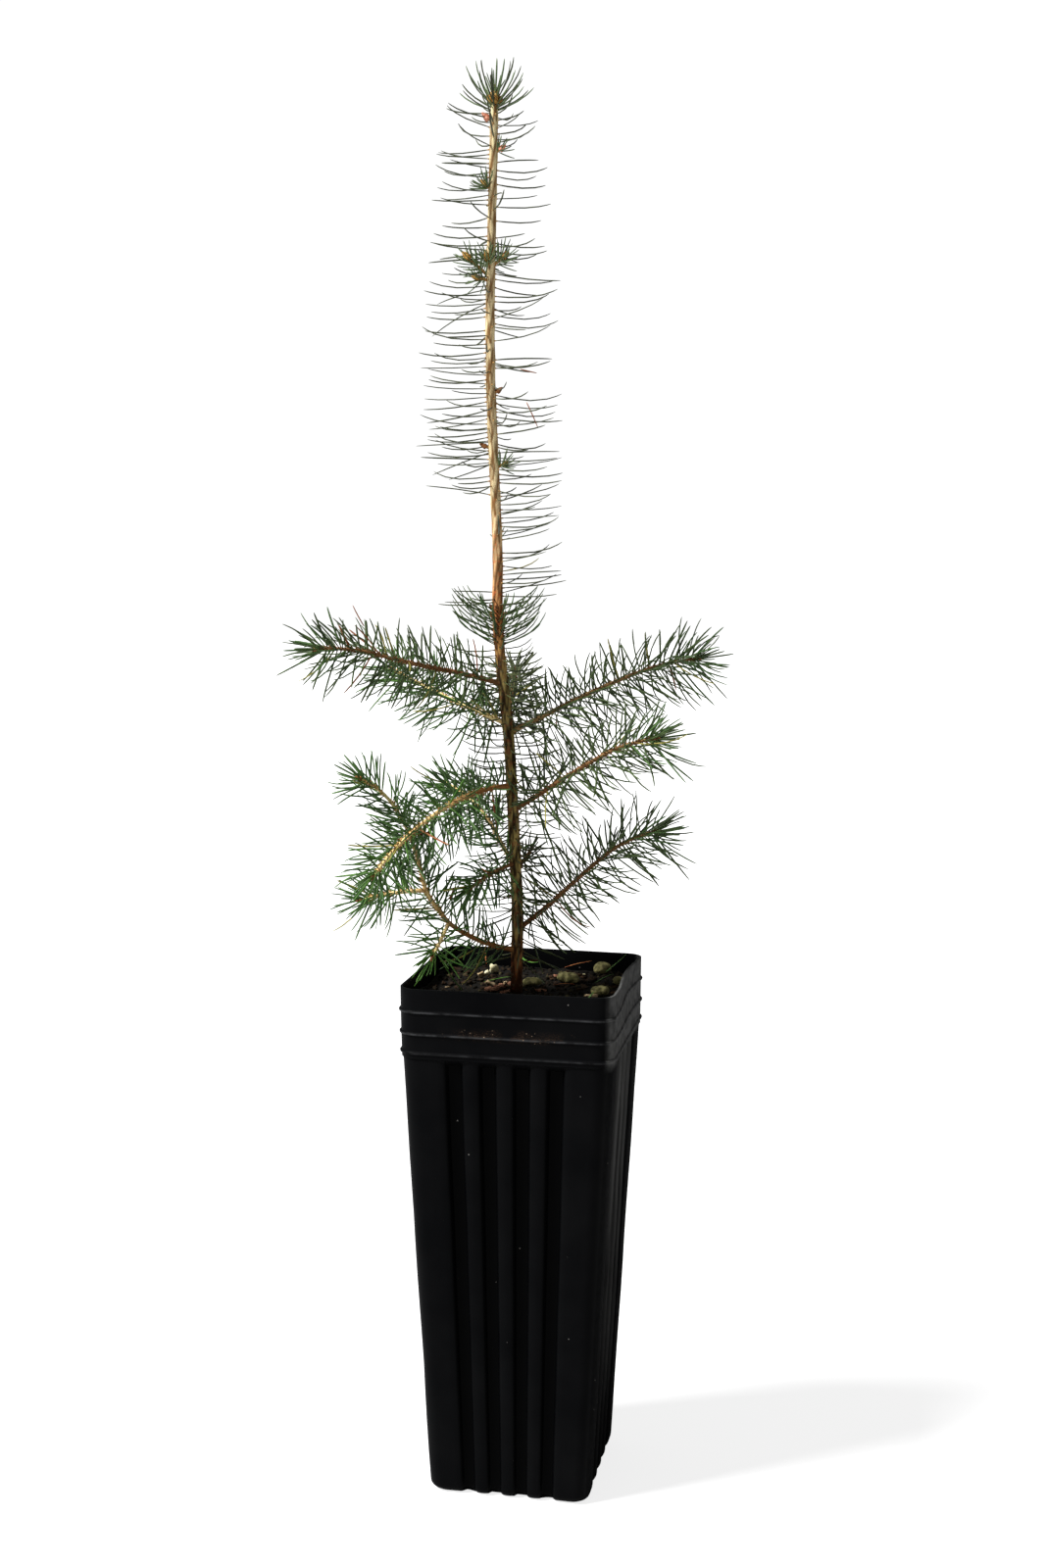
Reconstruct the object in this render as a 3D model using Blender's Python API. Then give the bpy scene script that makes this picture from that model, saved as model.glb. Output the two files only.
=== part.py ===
"""A young Norway spruce in a tall square nursery pot.

The pot is a thin moulded shell with a plain collar, three beads and four flutes on each side.
It holds a fill of bark mix, with a few pebbles on top.
The plant is one whole trunk, bare limbs where the boughs leave it, and one mass of needles on
each bough and on each stretch of the trunk.
Every needle is placed by one seeded rule, and is left out where it would come too near to
anything that isn't its own mass.

Metres, +Z up. The origin is the centre of the pot's underside, and -Y is the pot's front.
"""
import math
import random
from collections import namedtuple

import bpy
import bmesh
import numpy as np
from mathutils import Vector

# Driving sizes of the pot
POT_HEIGHT = 0.250
RIM_HALF = 0.0508          # half of the width at the rim
COLLAR_HALF = 0.0504       # half of the width at the collar's lower edge
SHOULDER_HALF = 0.0499     # half of the width just under the collar
FOOT_HALF = 0.0389         # half of the width at the underside
RIM_CORNER = 0.0085        # corner radius at the rim
FOOT_CORNER = 0.0068       # corner radius at the underside
COLLAR_HEIGHT = 0.033
BEAD_DROPS = (0.0107, 0.0212, 0.0303)   # each bead's middle, below the rim
BEAD_RISE = 0.0007
BEAD_HALF_WIDTH = 0.0009
WALL = 0.0011
FLOOR = 0.0020
FLUTE_CENTRES = (-0.486, -0.162, 0.162, 0.486)   # as shares of the half width
FLUTE_MOUTH = 0.082        # half of a flute's width at its mouth, as a share of the half width
FLUTE_BED = 0.052          # and at its bed
FLUTE_DEPTH = 0.0030
FLUTE_TOP = 0.2090         # full depth up to here
FLUTE_END = 0.2155         # faded out here
FOOT_ROUND = ((0.0, 0.0045), (0.0012, 0.0016), (0.0042, 0.0))   # heights, and how far each is drawn in
CORNER_STEPS = 4
DRAIN_RADIUS = 0.0045
DRAIN_OFFSET = 0.0200

# Driving sizes of the fill and its pebbles
GAP = 0.0003               # between neighbouring solids
SOIL_TOP = 0.2410
SOIL_ROUGHNESS = 0.0011
SOIL_SWELLS = 7
SWELL_PITCHES = (120, 420)         # radians per metre
FLAT_RADIUS = 0.008        # the fill is level this far round the trunk and each pebble
Pebble = namedtuple("Pebble", "name x y length width height turn")
PEBBLES = (
    Pebble("pebble_back", 0.0310, 0.0420, 0.0090, 0.0074, 0.0062, 25),
    Pebble("pebble_middle", 0.0180, 0.0180, 0.0112, 0.0070, 0.0054, -20),
    Pebble("pebble_left", 0.0020, 0.0080, 0.0088, 0.0052, 0.0041, 10),
    Pebble("pebble_corner", 0.0375, -0.0060, 0.0094, 0.0066, 0.0050, 40),
    Pebble("pebble_side", 0.0425, 0.0190, 0.0066, 0.0050, 0.0040, -60),
)

# Driving sizes of the trunk
TRUNK_FOOT = Vector((-0.0026, -0.0091))
TRUNK_TIP = 0.6580         # the end bud's tip
SIDEWAYS = math.radians(11.3)      # the direction that the trunk leans along
TRUNK_LEAN = ((0.2413, 0.0), (0.277, 0.0008), (0.322, -0.0014), (0.360, -0.0034), (0.400, -0.0078),
              (0.420, -0.0093), (0.450, -0.0092), (0.524, -0.0126), (0.557, -0.0131), (0.658, -0.0111))
TRUNK_RADIUS = ((0.2413, 0.0032), (0.2480, 0.00285), (0.345, 0.0027), (0.430, 0.0024), (0.560, 0.00212),
                (0.648, 0.00175), (0.654, 0.0016), (0.658, 0.0004))
TRUNK_SIDES = 8
TRUNK_STEP = 0.020

# Driving sizes of the boughs. The height is where a bough leaves the trunk, the azimuth is from
# +X toward +Y, and the climbs are its angles above the level at even steps from base to tip.
# The bare stretch is the limb, and the rest is the twig that carries the needles.
Bough = namedtuple("Bough", "name height azimuth length climbs bare radius needles reach")
BOUGHS = (
    Bough("left_upper", 0.389, 209, 0.0915, (17, 11, 16, -4), 0.016, 0.00125, 40, 0.0225),
    Bough("back_left", 0.370, 150, 0.080, (16, 14, 18, 18), 0.014, 0.00120, 35, 0.0215),
    Bough("back", 0.368, 98, 0.070, (24, 26, 18, 10), 0.014, 0.00115, 30, 0.0190),
    Bough("right_upper", 0.366, 31, 0.1035, (23, 24, 19, 4), 0.018, 0.00130, 44, 0.0215),
    Bough("front_left", 0.341, 228, 0.088, (2, -18, -33, -48), 0.014, 0.00125, 38, 0.0225),
    Bough("right_mid", 0.329, -12, 0.081, (32, 34, 29, 8), 0.018, 0.00130, 36, 0.0225),
    Bough("front_short", 0.304, 236, 0.033, (-8, -16, -28), 0.008, 0.00100, 14, 0.0165),
    Bough("back_low", 0.302, 150, 0.061, (46, 54, 30, 14), 0.012, 0.00115, 26, 0.0190),
    Bough("back_short", 0.300, 84, 0.027, (12, 16, 20), 0.008, 0.00100, 11, 0.0125),
    Bough("right_low", 0.272, 20, 0.083, (34, 43, 38, 8), 0.018, 0.00130, 37, 0.0220),
)
# The lowest bough on the left arches round open air, so it is split at its fork and at its bend
ARCH_HEIGHT = 0.262
ARCH_AZIMUTH = 208
ARCH_FIRST = (0.0370, (8, 24, 38))           # length and climbs up to the fork
ARCH_SECOND = (0.0200, (50, 60))             # from the fork to the bend
ARCH_RADII = (0.0014, 0.0012, 0.0011)        # at the trunk, at the fork and at the bend
ARCH_BRANCH = 0.0017       # from the limb's line to the foot of a twig that leaves its side
Twig = namedtuple("Twig", "name azimuth length climbs radius needles reach")
ARCH_RISE = Twig("left_low_rise", 211, 0.065, (78, 72, 56, 24), 0.00105, 32, 0.0195)
ARCH_SIDE = Twig("left_low_side", 204, 0.031, (0, -6, -14), 0.00090, 16, 0.0190)
ARCH_HANG = Twig("left_low_hang", 254, 0.0190, (-36, -42, -42), 0.00090, 13, 0.0175)

# Driving sizes of the needles
NEEDLE_ROOT = 0.00034      # a needle's radius where it leaves the bark
NEEDLE_WAIST = 0.00062     # and at its widest
ROOT_DEPTH = 0.00055       # how deep its root sits in a twig
SLEEVE_DEPTH = 0.00038     # and in a stretch of the trunk's bark
GOLDEN_TURN = math.radians(137.508)
TWIG_LEANS = (66, 50)      # degrees between needle and twig, at the twig's foot and at its tip
LEAN_SPREAD = 7
TURN_SPREAD = 0.25
LENGTH_SPREAD = (0.86, 1.04)
TUFT_NEEDLES = 8           # at the tip of each twig
TUFT_SHARE = 0.035         # of the twig's length that the tuft takes
TUFT_LEANS = (12, 40)
TUFT_REACH = 0.70          # of the reach of the twig's other needles
TWIG_LIFT = 0.14           # how far a twig's needle bends toward the tip
TRUNK_LIFT = 0.24          # and how far one on the trunk bends up
UNDERSIDE_GAIN = 0.18      # needles under a twig are longer, and those over it shorter, by this share
TWIG_SIDES = 5
TWIG_TIP = 0.00062
LIMB_TAPER = 0.88          # a limb's radius where its needles begin, as a share of its first
LINE_STEP = 0.008
CLEARANCE = 0.00035
SAMPLE = 0.0009            # spacing of the points that are tested for clearance
SLEEVE_WALL = 0.0008
SLEEVE_MARGIN = 0.0005     # between a bough's foot and the nearest sleeve's end
SHORTEST_SLEEVE = 0.0045
FOOT_SWELL = 1.45          # a bough's swelling where it leaves the trunk
SEED = 11

# Stretches of the trunk that carry needles: the heights, the number of needles, their reach,
# their rise at the foot and at the top of the stretch, and the arc that they grow on
Stretch = namedtuple("Stretch", "name low high needles reach rises arc")
RIGHT_ARC = (-95, 80)      # of the bare left side, measured from the image's right-hand azimuth
FULL_ARC = (0, 360)
LEADER = (
    Stretch("whorl", 0.4080, 0.4240, 24, 0.0235, (22, 34), FULL_ARC),
    Stretch("leader_low", 0.4245, 0.4780, 21, 0.0300, (2, 4), RIGHT_ARC),
    Stretch("leader_mid", 0.4785, 0.5290, 31, 0.0315, (-4, 0), FULL_ARC),
    Stretch("leader_upper", 0.5295, 0.5785, 29, 0.0305, (-2, 4), FULL_ARC),
    Stretch("leader_knots", 0.5790, 0.6000, 16, 0.0260, (4, 10), FULL_ARC),
    Stretch("leader_top", 0.6005, 0.6395, 24, 0.0240, (6, 20), FULL_ARC),
    Stretch("leader_tuft", 0.6400, 0.6500, 18, 0.0240, (34, 72), FULL_ARC),
)
STEM_NEEDLES_PER_METRE = 850
STEM_REACH = 0.0240
STEM_RISES = (-14, 16)     # at the lowest and at the highest stretch under the whorl
RISE_SPREAD = 5
STRETCH_END = 0.05         # share of a stretch that stays bare at each end

# Colour and roughness of each material
FINISHES = {
    "pot": ((0.012, 0.013, 0.016), 0.38),
    "soil": ((0.035, 0.022, 0.015), 0.95),
    "pebble": ((0.30, 0.28, 0.13), 0.75),
    "bark": ((0.16, 0.085, 0.035), 0.85),
    "needles": ((0.030, 0.075, 0.038), 0.5),
}


def clear_scene():
    for obj in list(bpy.data.objects):
        bpy.data.objects.remove(obj, do_unlink=True)


def make_material(name):
    colour, roughness = FINISHES[name]
    material = bpy.data.materials.new(name)
    material.use_nodes = True
    shader = material.node_tree.nodes["Principled BSDF"]
    shader.inputs["Base Color"].default_value = (*colour, 1.0)
    shader.inputs["Roughness"].default_value = roughness
    shader.inputs["Metallic"].default_value = 0.0
    material.diffuse_color = (*colour, 1.0)
    return material


def make_object(name, bm, material, smooth_angle=None):
    bmesh.ops.recalc_face_normals(bm, faces=bm.faces)
    mesh = bpy.data.meshes.new(name)
    bm.to_mesh(mesh)
    bm.free()
    obj = bpy.data.objects.new(name, mesh)
    bpy.context.scene.collection.objects.link(obj)
    if material is not None:
        mesh.materials.append(material)
    if smooth_angle is not None:
        mesh.shade_smooth()
        mesh.set_sharp_from_angle(angle=math.radians(smooth_angle))
    return obj


def hide_cutter(obj):
    obj.hide_render = True
    obj.display_type = "WIRE"


def add_boolean(obj, cutter, operation):
    boolean = obj.modifiers.new(cutter.name, "BOOLEAN")
    boolean.operation = operation
    boolean.object = cutter
    boolean.solver = "EXACT"


def direction(azimuth, climb):
    level = math.cos(math.radians(climb))
    return Vector((level * math.cos(math.radians(azimuth)),
                   level * math.sin(math.radians(azimuth)),
                   math.sin(math.radians(climb))))


# The pot: rings of points round the square outline, joined into skins
def square_outline(half, corner, flute):
    """Points round a rounded square; each side has its flutes, sunk by the depth given."""
    side = []
    for centre in FLUTE_CENTRES:
        side.append(((centre - FLUTE_MOUTH) * half, 0.0))
        side.append(((centre - FLUTE_BED) * half, flute))
        side.append(((centre + FLUTE_BED) * half, flute))
        side.append(((centre + FLUTE_MOUTH) * half, 0.0))
    points = []
    for quarter in range(4):
        turn = quarter * math.pi / 2
        along = Vector((math.cos(turn), math.sin(turn)))
        out = Vector((math.sin(turn), -math.cos(turn)))
        if flute is not None:
            for place, depth in side:
                points.append(along * place + out * (half - depth))
        middle = (along + out) * (half - corner)
        for step in range(CORNER_STEPS + 1):
            angle = -math.pi / 2 + turn + math.pi / 2 * step / CORNER_STEPS
            points.append(middle + Vector((math.cos(angle), math.sin(angle))) * corner)
    return points


def add_ring(bm, outline, height):
    return [bm.verts.new((point.x, point.y, height)) for point in outline]


def join_rings(bm, lower, upper):
    count = len(lower)
    for i in range(count):
        following = (i + 1) % count
        bm.faces.new((lower[i], lower[following], upper[following], upper[i]))


def body_half(height):
    share = height / (POT_HEIGHT - COLLAR_HEIGHT)
    return FOOT_HALF + (SHOULDER_HALF - FOOT_HALF) * share


def corner_radius(height):
    return FOOT_CORNER + (RIM_CORNER - FOOT_CORNER) * height / POT_HEIGHT


def collar_half(height):
    share = (POT_HEIGHT - height) / COLLAR_HEIGHT
    return RIM_HALF + (COLLAR_HALF - RIM_HALF) * share


def bead_profile():
    """Height and standing-out of the collar's outer skin, from its lower edge to the rim."""
    profile = [(POT_HEIGHT - COLLAR_HEIGHT, 0.0)]
    for drop in reversed(BEAD_DROPS):
        middle = POT_HEIGHT - drop
        profile.append((middle - BEAD_HALF_WIDTH, 0.0))
        profile.append((middle, BEAD_RISE))
        profile.append((middle + BEAD_HALF_WIDTH, 0.0))
    profile.append((POT_HEIGHT, 0.0))
    return profile


def bridge_skins(bm, lower, upper):
    """Join two rings that have different numbers of points."""
    edges = []
    for ring in (lower, upper):
        for i, vert in enumerate(ring):
            edges.append(bm.edges.get((vert, ring[(i + 1) % len(ring)])))
    bmesh.ops.bridge_loops(bm, edges=edges)


def build_pot(material):
    bm = bmesh.new()
    skins = {}
    collar = (POT_HEIGHT - COLLAR_HEIGHT, 0.0), (POT_HEIGHT, 0.0)
    for skin, inset, foot, profile in (("outer", 0.0, FOOT_ROUND, bead_profile()),
                                       ("inner", WALL, ((FLOOR, 0.0031), (FOOT_ROUND[2][0], 0.0)), collar)):
        rings = []
        levels = [(height, draw, FLUTE_DEPTH) for height, draw in foot]
        for height, draw, flute in levels + [(FLUTE_TOP, 0.0, FLUTE_DEPTH), (FLUTE_END, 0.0, 0.0)]:
            half = body_half(height) - inset - draw
            rings.append(add_ring(bm, square_outline(half, corner_radius(height) - inset, flute), height))
        for lower, upper in zip(rings, rings[1:]):
            join_rings(bm, lower, upper)
        plain = []
        for height, rise in profile:
            half = collar_half(height) + rise - inset
            outline = square_outline(half, corner_radius(height) + rise - inset, None)
            plain.append(add_ring(bm, outline, height))
        for lower, upper in zip(plain, plain[1:]):
            join_rings(bm, lower, upper)
        bridge_skins(bm, rings[-1], plain[0])
        bm.faces.new(rings[0])
        skins[skin] = plain[-1]
    join_rings(bm, skins["inner"], skins["outer"])
    pot = make_object("pot", bm, material, smooth_angle=28)
    for place, sides in enumerate(((1, 1), (-1, 1), (-1, -1), (1, -1))):
        bm = bmesh.new()
        bmesh.ops.create_cone(bm, cap_ends=True, segments=10, radius1=DRAIN_RADIUS, radius2=DRAIN_RADIUS,
                              depth=4 * FLOOR)
        cutter = make_object(f"drain_cutter_{place + 1}", bm, None)
        cutter.location = (sides[0] * DRAIN_OFFSET, sides[1] * DRAIN_OFFSET, 0.0)
        hide_cutter(cutter)
        add_boolean(pot, cutter, "DIFFERENCE")
    return pot


# The fill: a block just clear of the pot, with an uneven top
def soil_height(x, y):
    """The fill's top: small seeded swells, levelled off round the trunk and the pebbles."""
    swell = 0.0
    rng = random.Random(SEED)
    for _ in range(SOIL_SWELLS):
        angle = rng.uniform(0, math.tau)
        pitch = rng.uniform(*SWELL_PITCHES)
        swell += math.sin(pitch * (x * math.cos(angle) + y * math.sin(angle)) + rng.uniform(0, math.tau))
    spots = [TRUNK_FOOT] + [Vector((pebble.x, pebble.y)) for pebble in PEBBLES]
    nearest = min((Vector((x, y)) - spot).length for spot in spots)
    share = min(1.0, max(0.0, (nearest - FLAT_RADIUS) / FLAT_RADIUS))
    return SOIL_TOP - SOIL_ROUGHNESS * share * (0.5 - swell / SOIL_SWELLS)


def build_soil(material):
    bm = bmesh.new()
    narrow = WALL + FLUTE_DEPTH + GAP
    height = FLOOR + GAP
    levels = [(height, body_half(height) - narrow - FOOT_ROUND[0][1], corner_radius(height) - WALL - GAP)]
    for height in (2 * FOOT_ROUND[2][0], FLUTE_TOP - GAP):
        levels.append((height, body_half(height) - narrow, corner_radius(height) - WALL - GAP))
    for height in (POT_HEIGHT - COLLAR_HEIGHT + GAP, SOIL_TOP - 2 * SOIL_ROUGHNESS):
        levels.append((height, collar_half(height) - WALL - GAP, corner_radius(height) - WALL - GAP))
    rings = []
    for height, half, corner in levels:
        rings.append(add_ring(bm, square_outline(half, corner, None), height))
    for lower, upper in zip(rings, rings[1:]):
        join_rings(bm, lower, upper)
    bm.faces.new(rings[0])
    edge = [Vector((vert.co.x, vert.co.y)) for vert in rings[-1]]
    previous = rings[-1]
    for share in (0.98, 0.75, 0.5, 0.25):
        ring = []
        for point in edge:
            place = TRUNK_FOOT + (point - TRUNK_FOOT) * share
            ring.append(bm.verts.new((place.x, place.y, soil_height(place.x, place.y))))
        join_rings(bm, previous, ring)
        previous = ring
    bm.faces.new(previous)
    return make_object("soil_fill", bm, material)


def build_pebble(pebble, material):
    bm = bmesh.new()
    bmesh.ops.create_icosphere(bm, subdivisions=2, radius=0.5)
    rng = random.Random(pebble.name)
    turn = math.radians(pebble.turn)
    for vert in bm.verts:
        lump = 1.0 + rng.uniform(-0.05, 0.05)
        x = vert.co.x * pebble.length * lump
        y = vert.co.y * pebble.width * lump
        z = max(vert.co.z, -0.34) * pebble.height
        vert.co = (x * math.cos(turn) - y * math.sin(turn), x * math.sin(turn) + y * math.cos(turn), z)
    lowest = min(vert.co.z for vert in bm.verts)
    place = Vector((pebble.x, pebble.y, SOIL_TOP + GAP - lowest))
    bmesh.ops.translate(bm, verts=bm.verts, vec=place)
    return make_object(pebble.name, bm, material, smooth_angle=60)


# Tubes: the trunk, the limbs and the twigs
def read_profile(profile, place):
    return float(np.interp(place, [point[0] for point in profile], [point[1] for point in profile]))


def trunk_heights():
    count = round((TRUNK_TIP - SOIL_TOP) / TRUNK_STEP)
    heights = [SOIL_TOP + GAP]
    heights += [SOIL_TOP + TRUNK_STEP * step for step in range(1, count)]
    heights += [height for height, _ in TRUNK_RADIUS if SOIL_TOP + 2 * GAP < height]
    return sorted(set(round(height, 5) for height in heights))


def trunk_centre(height):
    """The trunk's axis: straight from ring to ring, so that sleeves run true to it."""
    heights = trunk_heights()
    leans = [read_profile(TRUNK_LEAN, ring) for ring in heights]
    lean = float(np.interp(height, heights, leans))
    x = TRUNK_FOOT.x + lean * math.cos(SIDEWAYS)
    y = TRUNK_FOOT.y + lean * math.sin(SIDEWAYS)
    return Vector((x, y, height))


def polygon(centre, across, up, radius, sides):
    points = []
    for i in range(sides):
        angle = math.tau * i / sides
        points.append(centre + across * (math.cos(angle) * radius) + up * (math.sin(angle) * radius))
    return points


def build_tube(points, radii, sides):
    """A closed tapering tube; its rings turn with the line and don't twist round it."""
    bm = bmesh.new()
    across = None
    rings = []
    for i, point in enumerate(points):
        ahead = points[min(i + 1, len(points) - 1)]
        behind = points[max(i - 1, 0)]
        tangent = (ahead - behind).normalized()
        if across is None:
            across = tangent.orthogonal()
        across = (across - tangent * across.dot(tangent)).normalized()
        up = tangent.cross(across)
        ring = polygon(point, across, up, radii[i], sides)
        rings.append([bm.verts.new(place) for place in ring])
    for lower, upper in zip(rings, rings[1:]):
        join_rings(bm, lower, upper)
    bm.faces.new(rings[0])
    bm.faces.new(rings[-1])
    return bm


def add_trunk_ring(bm, height, extra):
    radius = read_profile(TRUNK_RADIUS, height) + extra
    ring = polygon(trunk_centre(height), Vector((1, 0, 0)), Vector((0, 1, 0)), radius, TRUNK_SIDES)
    return [bm.verts.new(place) for place in ring]


def build_trunk_tube(extra):
    """The trunk's own shape, or with extra on its radius the space kept clear round it."""
    bm = bmesh.new()
    rings = [add_trunk_ring(bm, height, extra) for height in trunk_heights()]
    for lower, upper in zip(rings, rings[1:]):
        join_rings(bm, lower, upper)
    bm.faces.new(rings[0])
    bm.faces.new(rings[-1])
    return bm


def grow_line(start, azimuth, climbs, length, steps):
    """A line of even steps whose angle above the level follows the climbs from end to end."""
    points = [start.copy()]
    for step in range(steps):
        share = (step + 0.5) / steps * (len(climbs) - 1)
        climb = float(np.interp(share, range(len(climbs)), climbs))
        points.append(points[-1] + direction(azimuth, climb) * (length / steps))
    return points


def cut_line(points, start, end):
    """The stretch of a line between two distances along it."""
    travelled = [0.0]
    for first, second in zip(points, points[1:]):
        travelled.append(travelled[-1] + (second - first).length)
    end = min(end, travelled[-1])
    places = [start] + [place for place in travelled if start + 0.001 < place < end - 0.001] + [end]
    line = []
    for place in places:
        line.append(Vector([float(np.interp(place, travelled, [point[k] for point in points]))
                            for k in range(3)]))
    return line


class Room:
    """Centre lines of what is placed so far, with their radii and the mass each belongs to."""

    def __init__(self):
        self.starts = []
        self.ends = []
        self.radii = []
        self.owners = []

    def add(self, owner, points, radius):
        for first, second in zip(points, points[1:]):
            self.starts.append(tuple(first))
            self.ends.append(tuple(second))
            self.radii.append(radius)
            self.owners.append(owner)

    def has_place(self, owners, points, radius):
        samples = []
        for first, second in zip(points, points[1:]):
            count = max(2, round((second - first).length / SAMPLE))
            samples += [tuple(first.lerp(second, i / count)) for i in range(count + 1)]
        others = np.array([owner not in owners for owner in self.owners])
        starts = np.array(self.starts)[others]
        ends = np.array(self.ends)[others]
        radii = np.array(self.radii)[others]
        spans = ends - starts
        samples = np.array(samples)
        offsets = samples[:, None, :] - starts[None, :, :]
        shares = np.einsum("ijk,jk->ij", offsets, spans) / np.einsum("jk,jk->j", spans, spans)
        nearest = starts + np.clip(shares, 0, 1)[:, :, None] * spans
        distances = np.linalg.norm(samples[:, None, :] - nearest, axis=2)
        return bool(np.all(distances > radii + radius + CLEARANCE))


# Needles
def needle_line(root, heading, lift, length):
    """A needle's bent centre line: it leaves the bark along the heading and curves to the lift."""
    middle = root + heading * (length * 0.5)
    tip = middle + (heading + lift).normalized() * (length * 0.5)
    return [root, middle, tip]


def build_needle(line):
    bm = bmesh.new()
    heading = (line[2] - line[0]).normalized()
    across = heading.orthogonal()
    up = heading.cross(across)
    root = [bm.verts.new(place) for place in polygon(line[0], across, up, NEEDLE_ROOT, 3)]
    waist = [bm.verts.new(place) for place in polygon(line[1], across, up, NEEDLE_WAIST, 3)]
    tip = bm.verts.new(line[2])
    join_rings(bm, root, waist)
    for i in range(3):
        bm.faces.new((waist[i], waist[(i + 1) % 3], tip))
    bm.faces.new(root)
    return bm


def keep_one_body(mesh):
    """Drop loose scraps and sealed hollows: only the largest connected skin stays."""
    bm = bmesh.new()
    bm.from_mesh(mesh)
    seen = set()
    bodies = []
    for start in bm.verts:
        if start in seen:
            continue
        body = []
        queue = [start]
        seen.add(start)
        while queue:
            vert = queue.pop()
            body.append(vert)
            for edge in vert.link_edges:
                other = edge.other_vert(vert)
                if other not in seen:
                    seen.add(other)
                    queue.append(other)
        bodies.append(body)
    bodies.sort(key=len)
    for body in bodies[:-1]:
        bmesh.ops.delete(bm, geom=body, context="VERTS")
    bm.to_mesh(mesh)
    bm.free()


def fuse_needles(core, lines):
    """Unite the needles with their core in one step, and take away the loose ones."""
    collection = bpy.data.collections.new(core.name + "_needles")
    for i, line in enumerate(lines):
        needle = make_object(f"{core.name}_{i}", build_needle(line), None)
        bpy.context.scene.collection.objects.unlink(needle)
        collection.objects.link(needle)
    bpy.context.scene.collection.children.link(collection)
    union = core.modifiers.new("union", "BOOLEAN")
    union.operation = "UNION"
    union.operand_type = "COLLECTION"
    union.collection = collection
    union.solver = "EXACT"
    graph = bpy.context.evaluated_depsgraph_get()
    fused = bpy.data.meshes.new_from_object(core.evaluated_get(graph))
    core.modifiers.clear()
    plain = core.data
    core.data = fused
    bpy.data.meshes.remove(plain)
    keep_one_body(fused)
    for needle in list(collection.objects):
        loose = needle.data
        bpy.data.objects.remove(needle, do_unlink=True)
        bpy.data.meshes.remove(loose)
    bpy.data.collections.remove(collection)


def twig_needles(room, owner, points, radii, count, reach, rng):
    """Needles in a spiral along a twig, with a closer tuft at its tip."""
    lines = []
    for i in range(count + TUFT_NEEDLES):
        if i < count:
            share = (i + 0.5) / count
            lean = TWIG_LEANS[0] + (TWIG_LEANS[1] - TWIG_LEANS[0]) * share
            lean += rng.uniform(-LEAN_SPREAD, LEAN_SPREAD)
        else:
            share = 1.0 - TUFT_SHARE * rng.random()
            lean = rng.uniform(*TUFT_LEANS)
        place = share * (len(points) - 1.001)
        section = int(place)
        root = points[section].lerp(points[section + 1], place - section)
        tangent = (points[section + 1] - points[section]).normalized()
        across = tangent.cross(Vector((0, 0, 1))).normalized()
        over = across.cross(tangent)
        angle = GOLDEN_TURN * i + rng.uniform(-TURN_SPREAD, TURN_SPREAD)
        outward = across * math.cos(angle) + over * math.sin(angle)
        heading = tangent * math.cos(math.radians(lean)) + outward * math.sin(math.radians(lean))
        length = reach * rng.uniform(*LENGTH_SPREAD) * (1.0 - UNDERSIDE_GAIN * outward.z)
        if i >= count:
            length *= TUFT_REACH
        start = root + outward * (radii[section] - ROOT_DEPTH)
        line = needle_line(start, heading, tangent * TWIG_LIFT, length)
        if line_fits(room, (owner,), line):
            lines.append(line)
            room.add(owner, line, NEEDLE_WAIST)
    return lines


def line_fits(room, owners, line):
    lowest = min(point.z for point in line)
    return lowest > POT_HEIGHT + 2 * NEEDLE_WAIST and room.has_place(owners, line, NEEDLE_WAIST)


def sleeve_needles(room, owner, stretch, rng):
    """Needles in a spiral round a stretch of the trunk."""
    lines = []
    for i in range(stretch.needles):
        share = (i + 0.5) / stretch.needles
        height = stretch.low + (stretch.high - stretch.low) * (STRETCH_END + (1 - 2 * STRETCH_END) * share)
        first, last = stretch.arc
        spin = (GOLDEN_TURN * i + rng.uniform(-TURN_SPREAD, TURN_SPREAD)) % math.tau / math.tau
        azimuth = math.degrees(SIDEWAYS) + first + (last - first) * spin
        rise = stretch.rises[0] + (stretch.rises[1] - stretch.rises[0]) * share
        rise += rng.uniform(-RISE_SPREAD, RISE_SPREAD)
        outward = direction(azimuth, 0)
        heading = direction(azimuth, rise)
        radius = read_profile(TRUNK_RADIUS, height) + sleeve_gap() + SLEEVE_WALL
        flat = math.cos(math.pi / TRUNK_SIDES)
        start = trunk_centre(height) + outward * (radius * flat - SLEEVE_DEPTH)
        length = stretch.reach * rng.uniform(*LENGTH_SPREAD)
        line = needle_line(start, heading, Vector((0, 0, TRUNK_LIFT)), length)
        if line_fits(room, (owner, "trunk"), line):
            lines.append(line)
            room.add(owner, line, NEEDLE_WAIST)
    return lines


def sleeve_gap():
    return GAP / math.cos(math.pi / TRUNK_SIDES)


def build_sleeve(stretch):
    """A thin ring of bark round the trunk, open at both ends and just clear of the wood."""
    bm = bmesh.new()
    inside = [height for height in trunk_heights() if stretch.low + 0.001 < height < stretch.high - 0.001]
    skins = []
    for extra in (sleeve_gap(), sleeve_gap() + SLEEVE_WALL):
        heights = [stretch.low] + inside + [stretch.high]
        rings = [add_trunk_ring(bm, height, extra) for height in heights]
        for lower, upper in zip(rings, rings[1:]):
            join_rings(bm, lower, upper)
        skins.append(rings)
    join_rings(bm, skins[0][0], skins[1][0])
    join_rings(bm, skins[0][-1], skins[1][-1])
    return bm


def foot_span(height, climb, radius):
    """The heights that a bough takes up on the trunk, out as far as a sleeve would reach."""
    trunk = read_profile(TRUNK_RADIUS, height)
    slope = math.tan(math.radians(climb))
    half = radius * FOOT_SWELL / math.cos(math.radians(climb)) + SLEEVE_MARGIN
    ends = (height + slope * trunk, height + slope * (trunk + GAP + SLEEVE_WALL))
    return min(ends) - half, max(ends) + half


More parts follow.
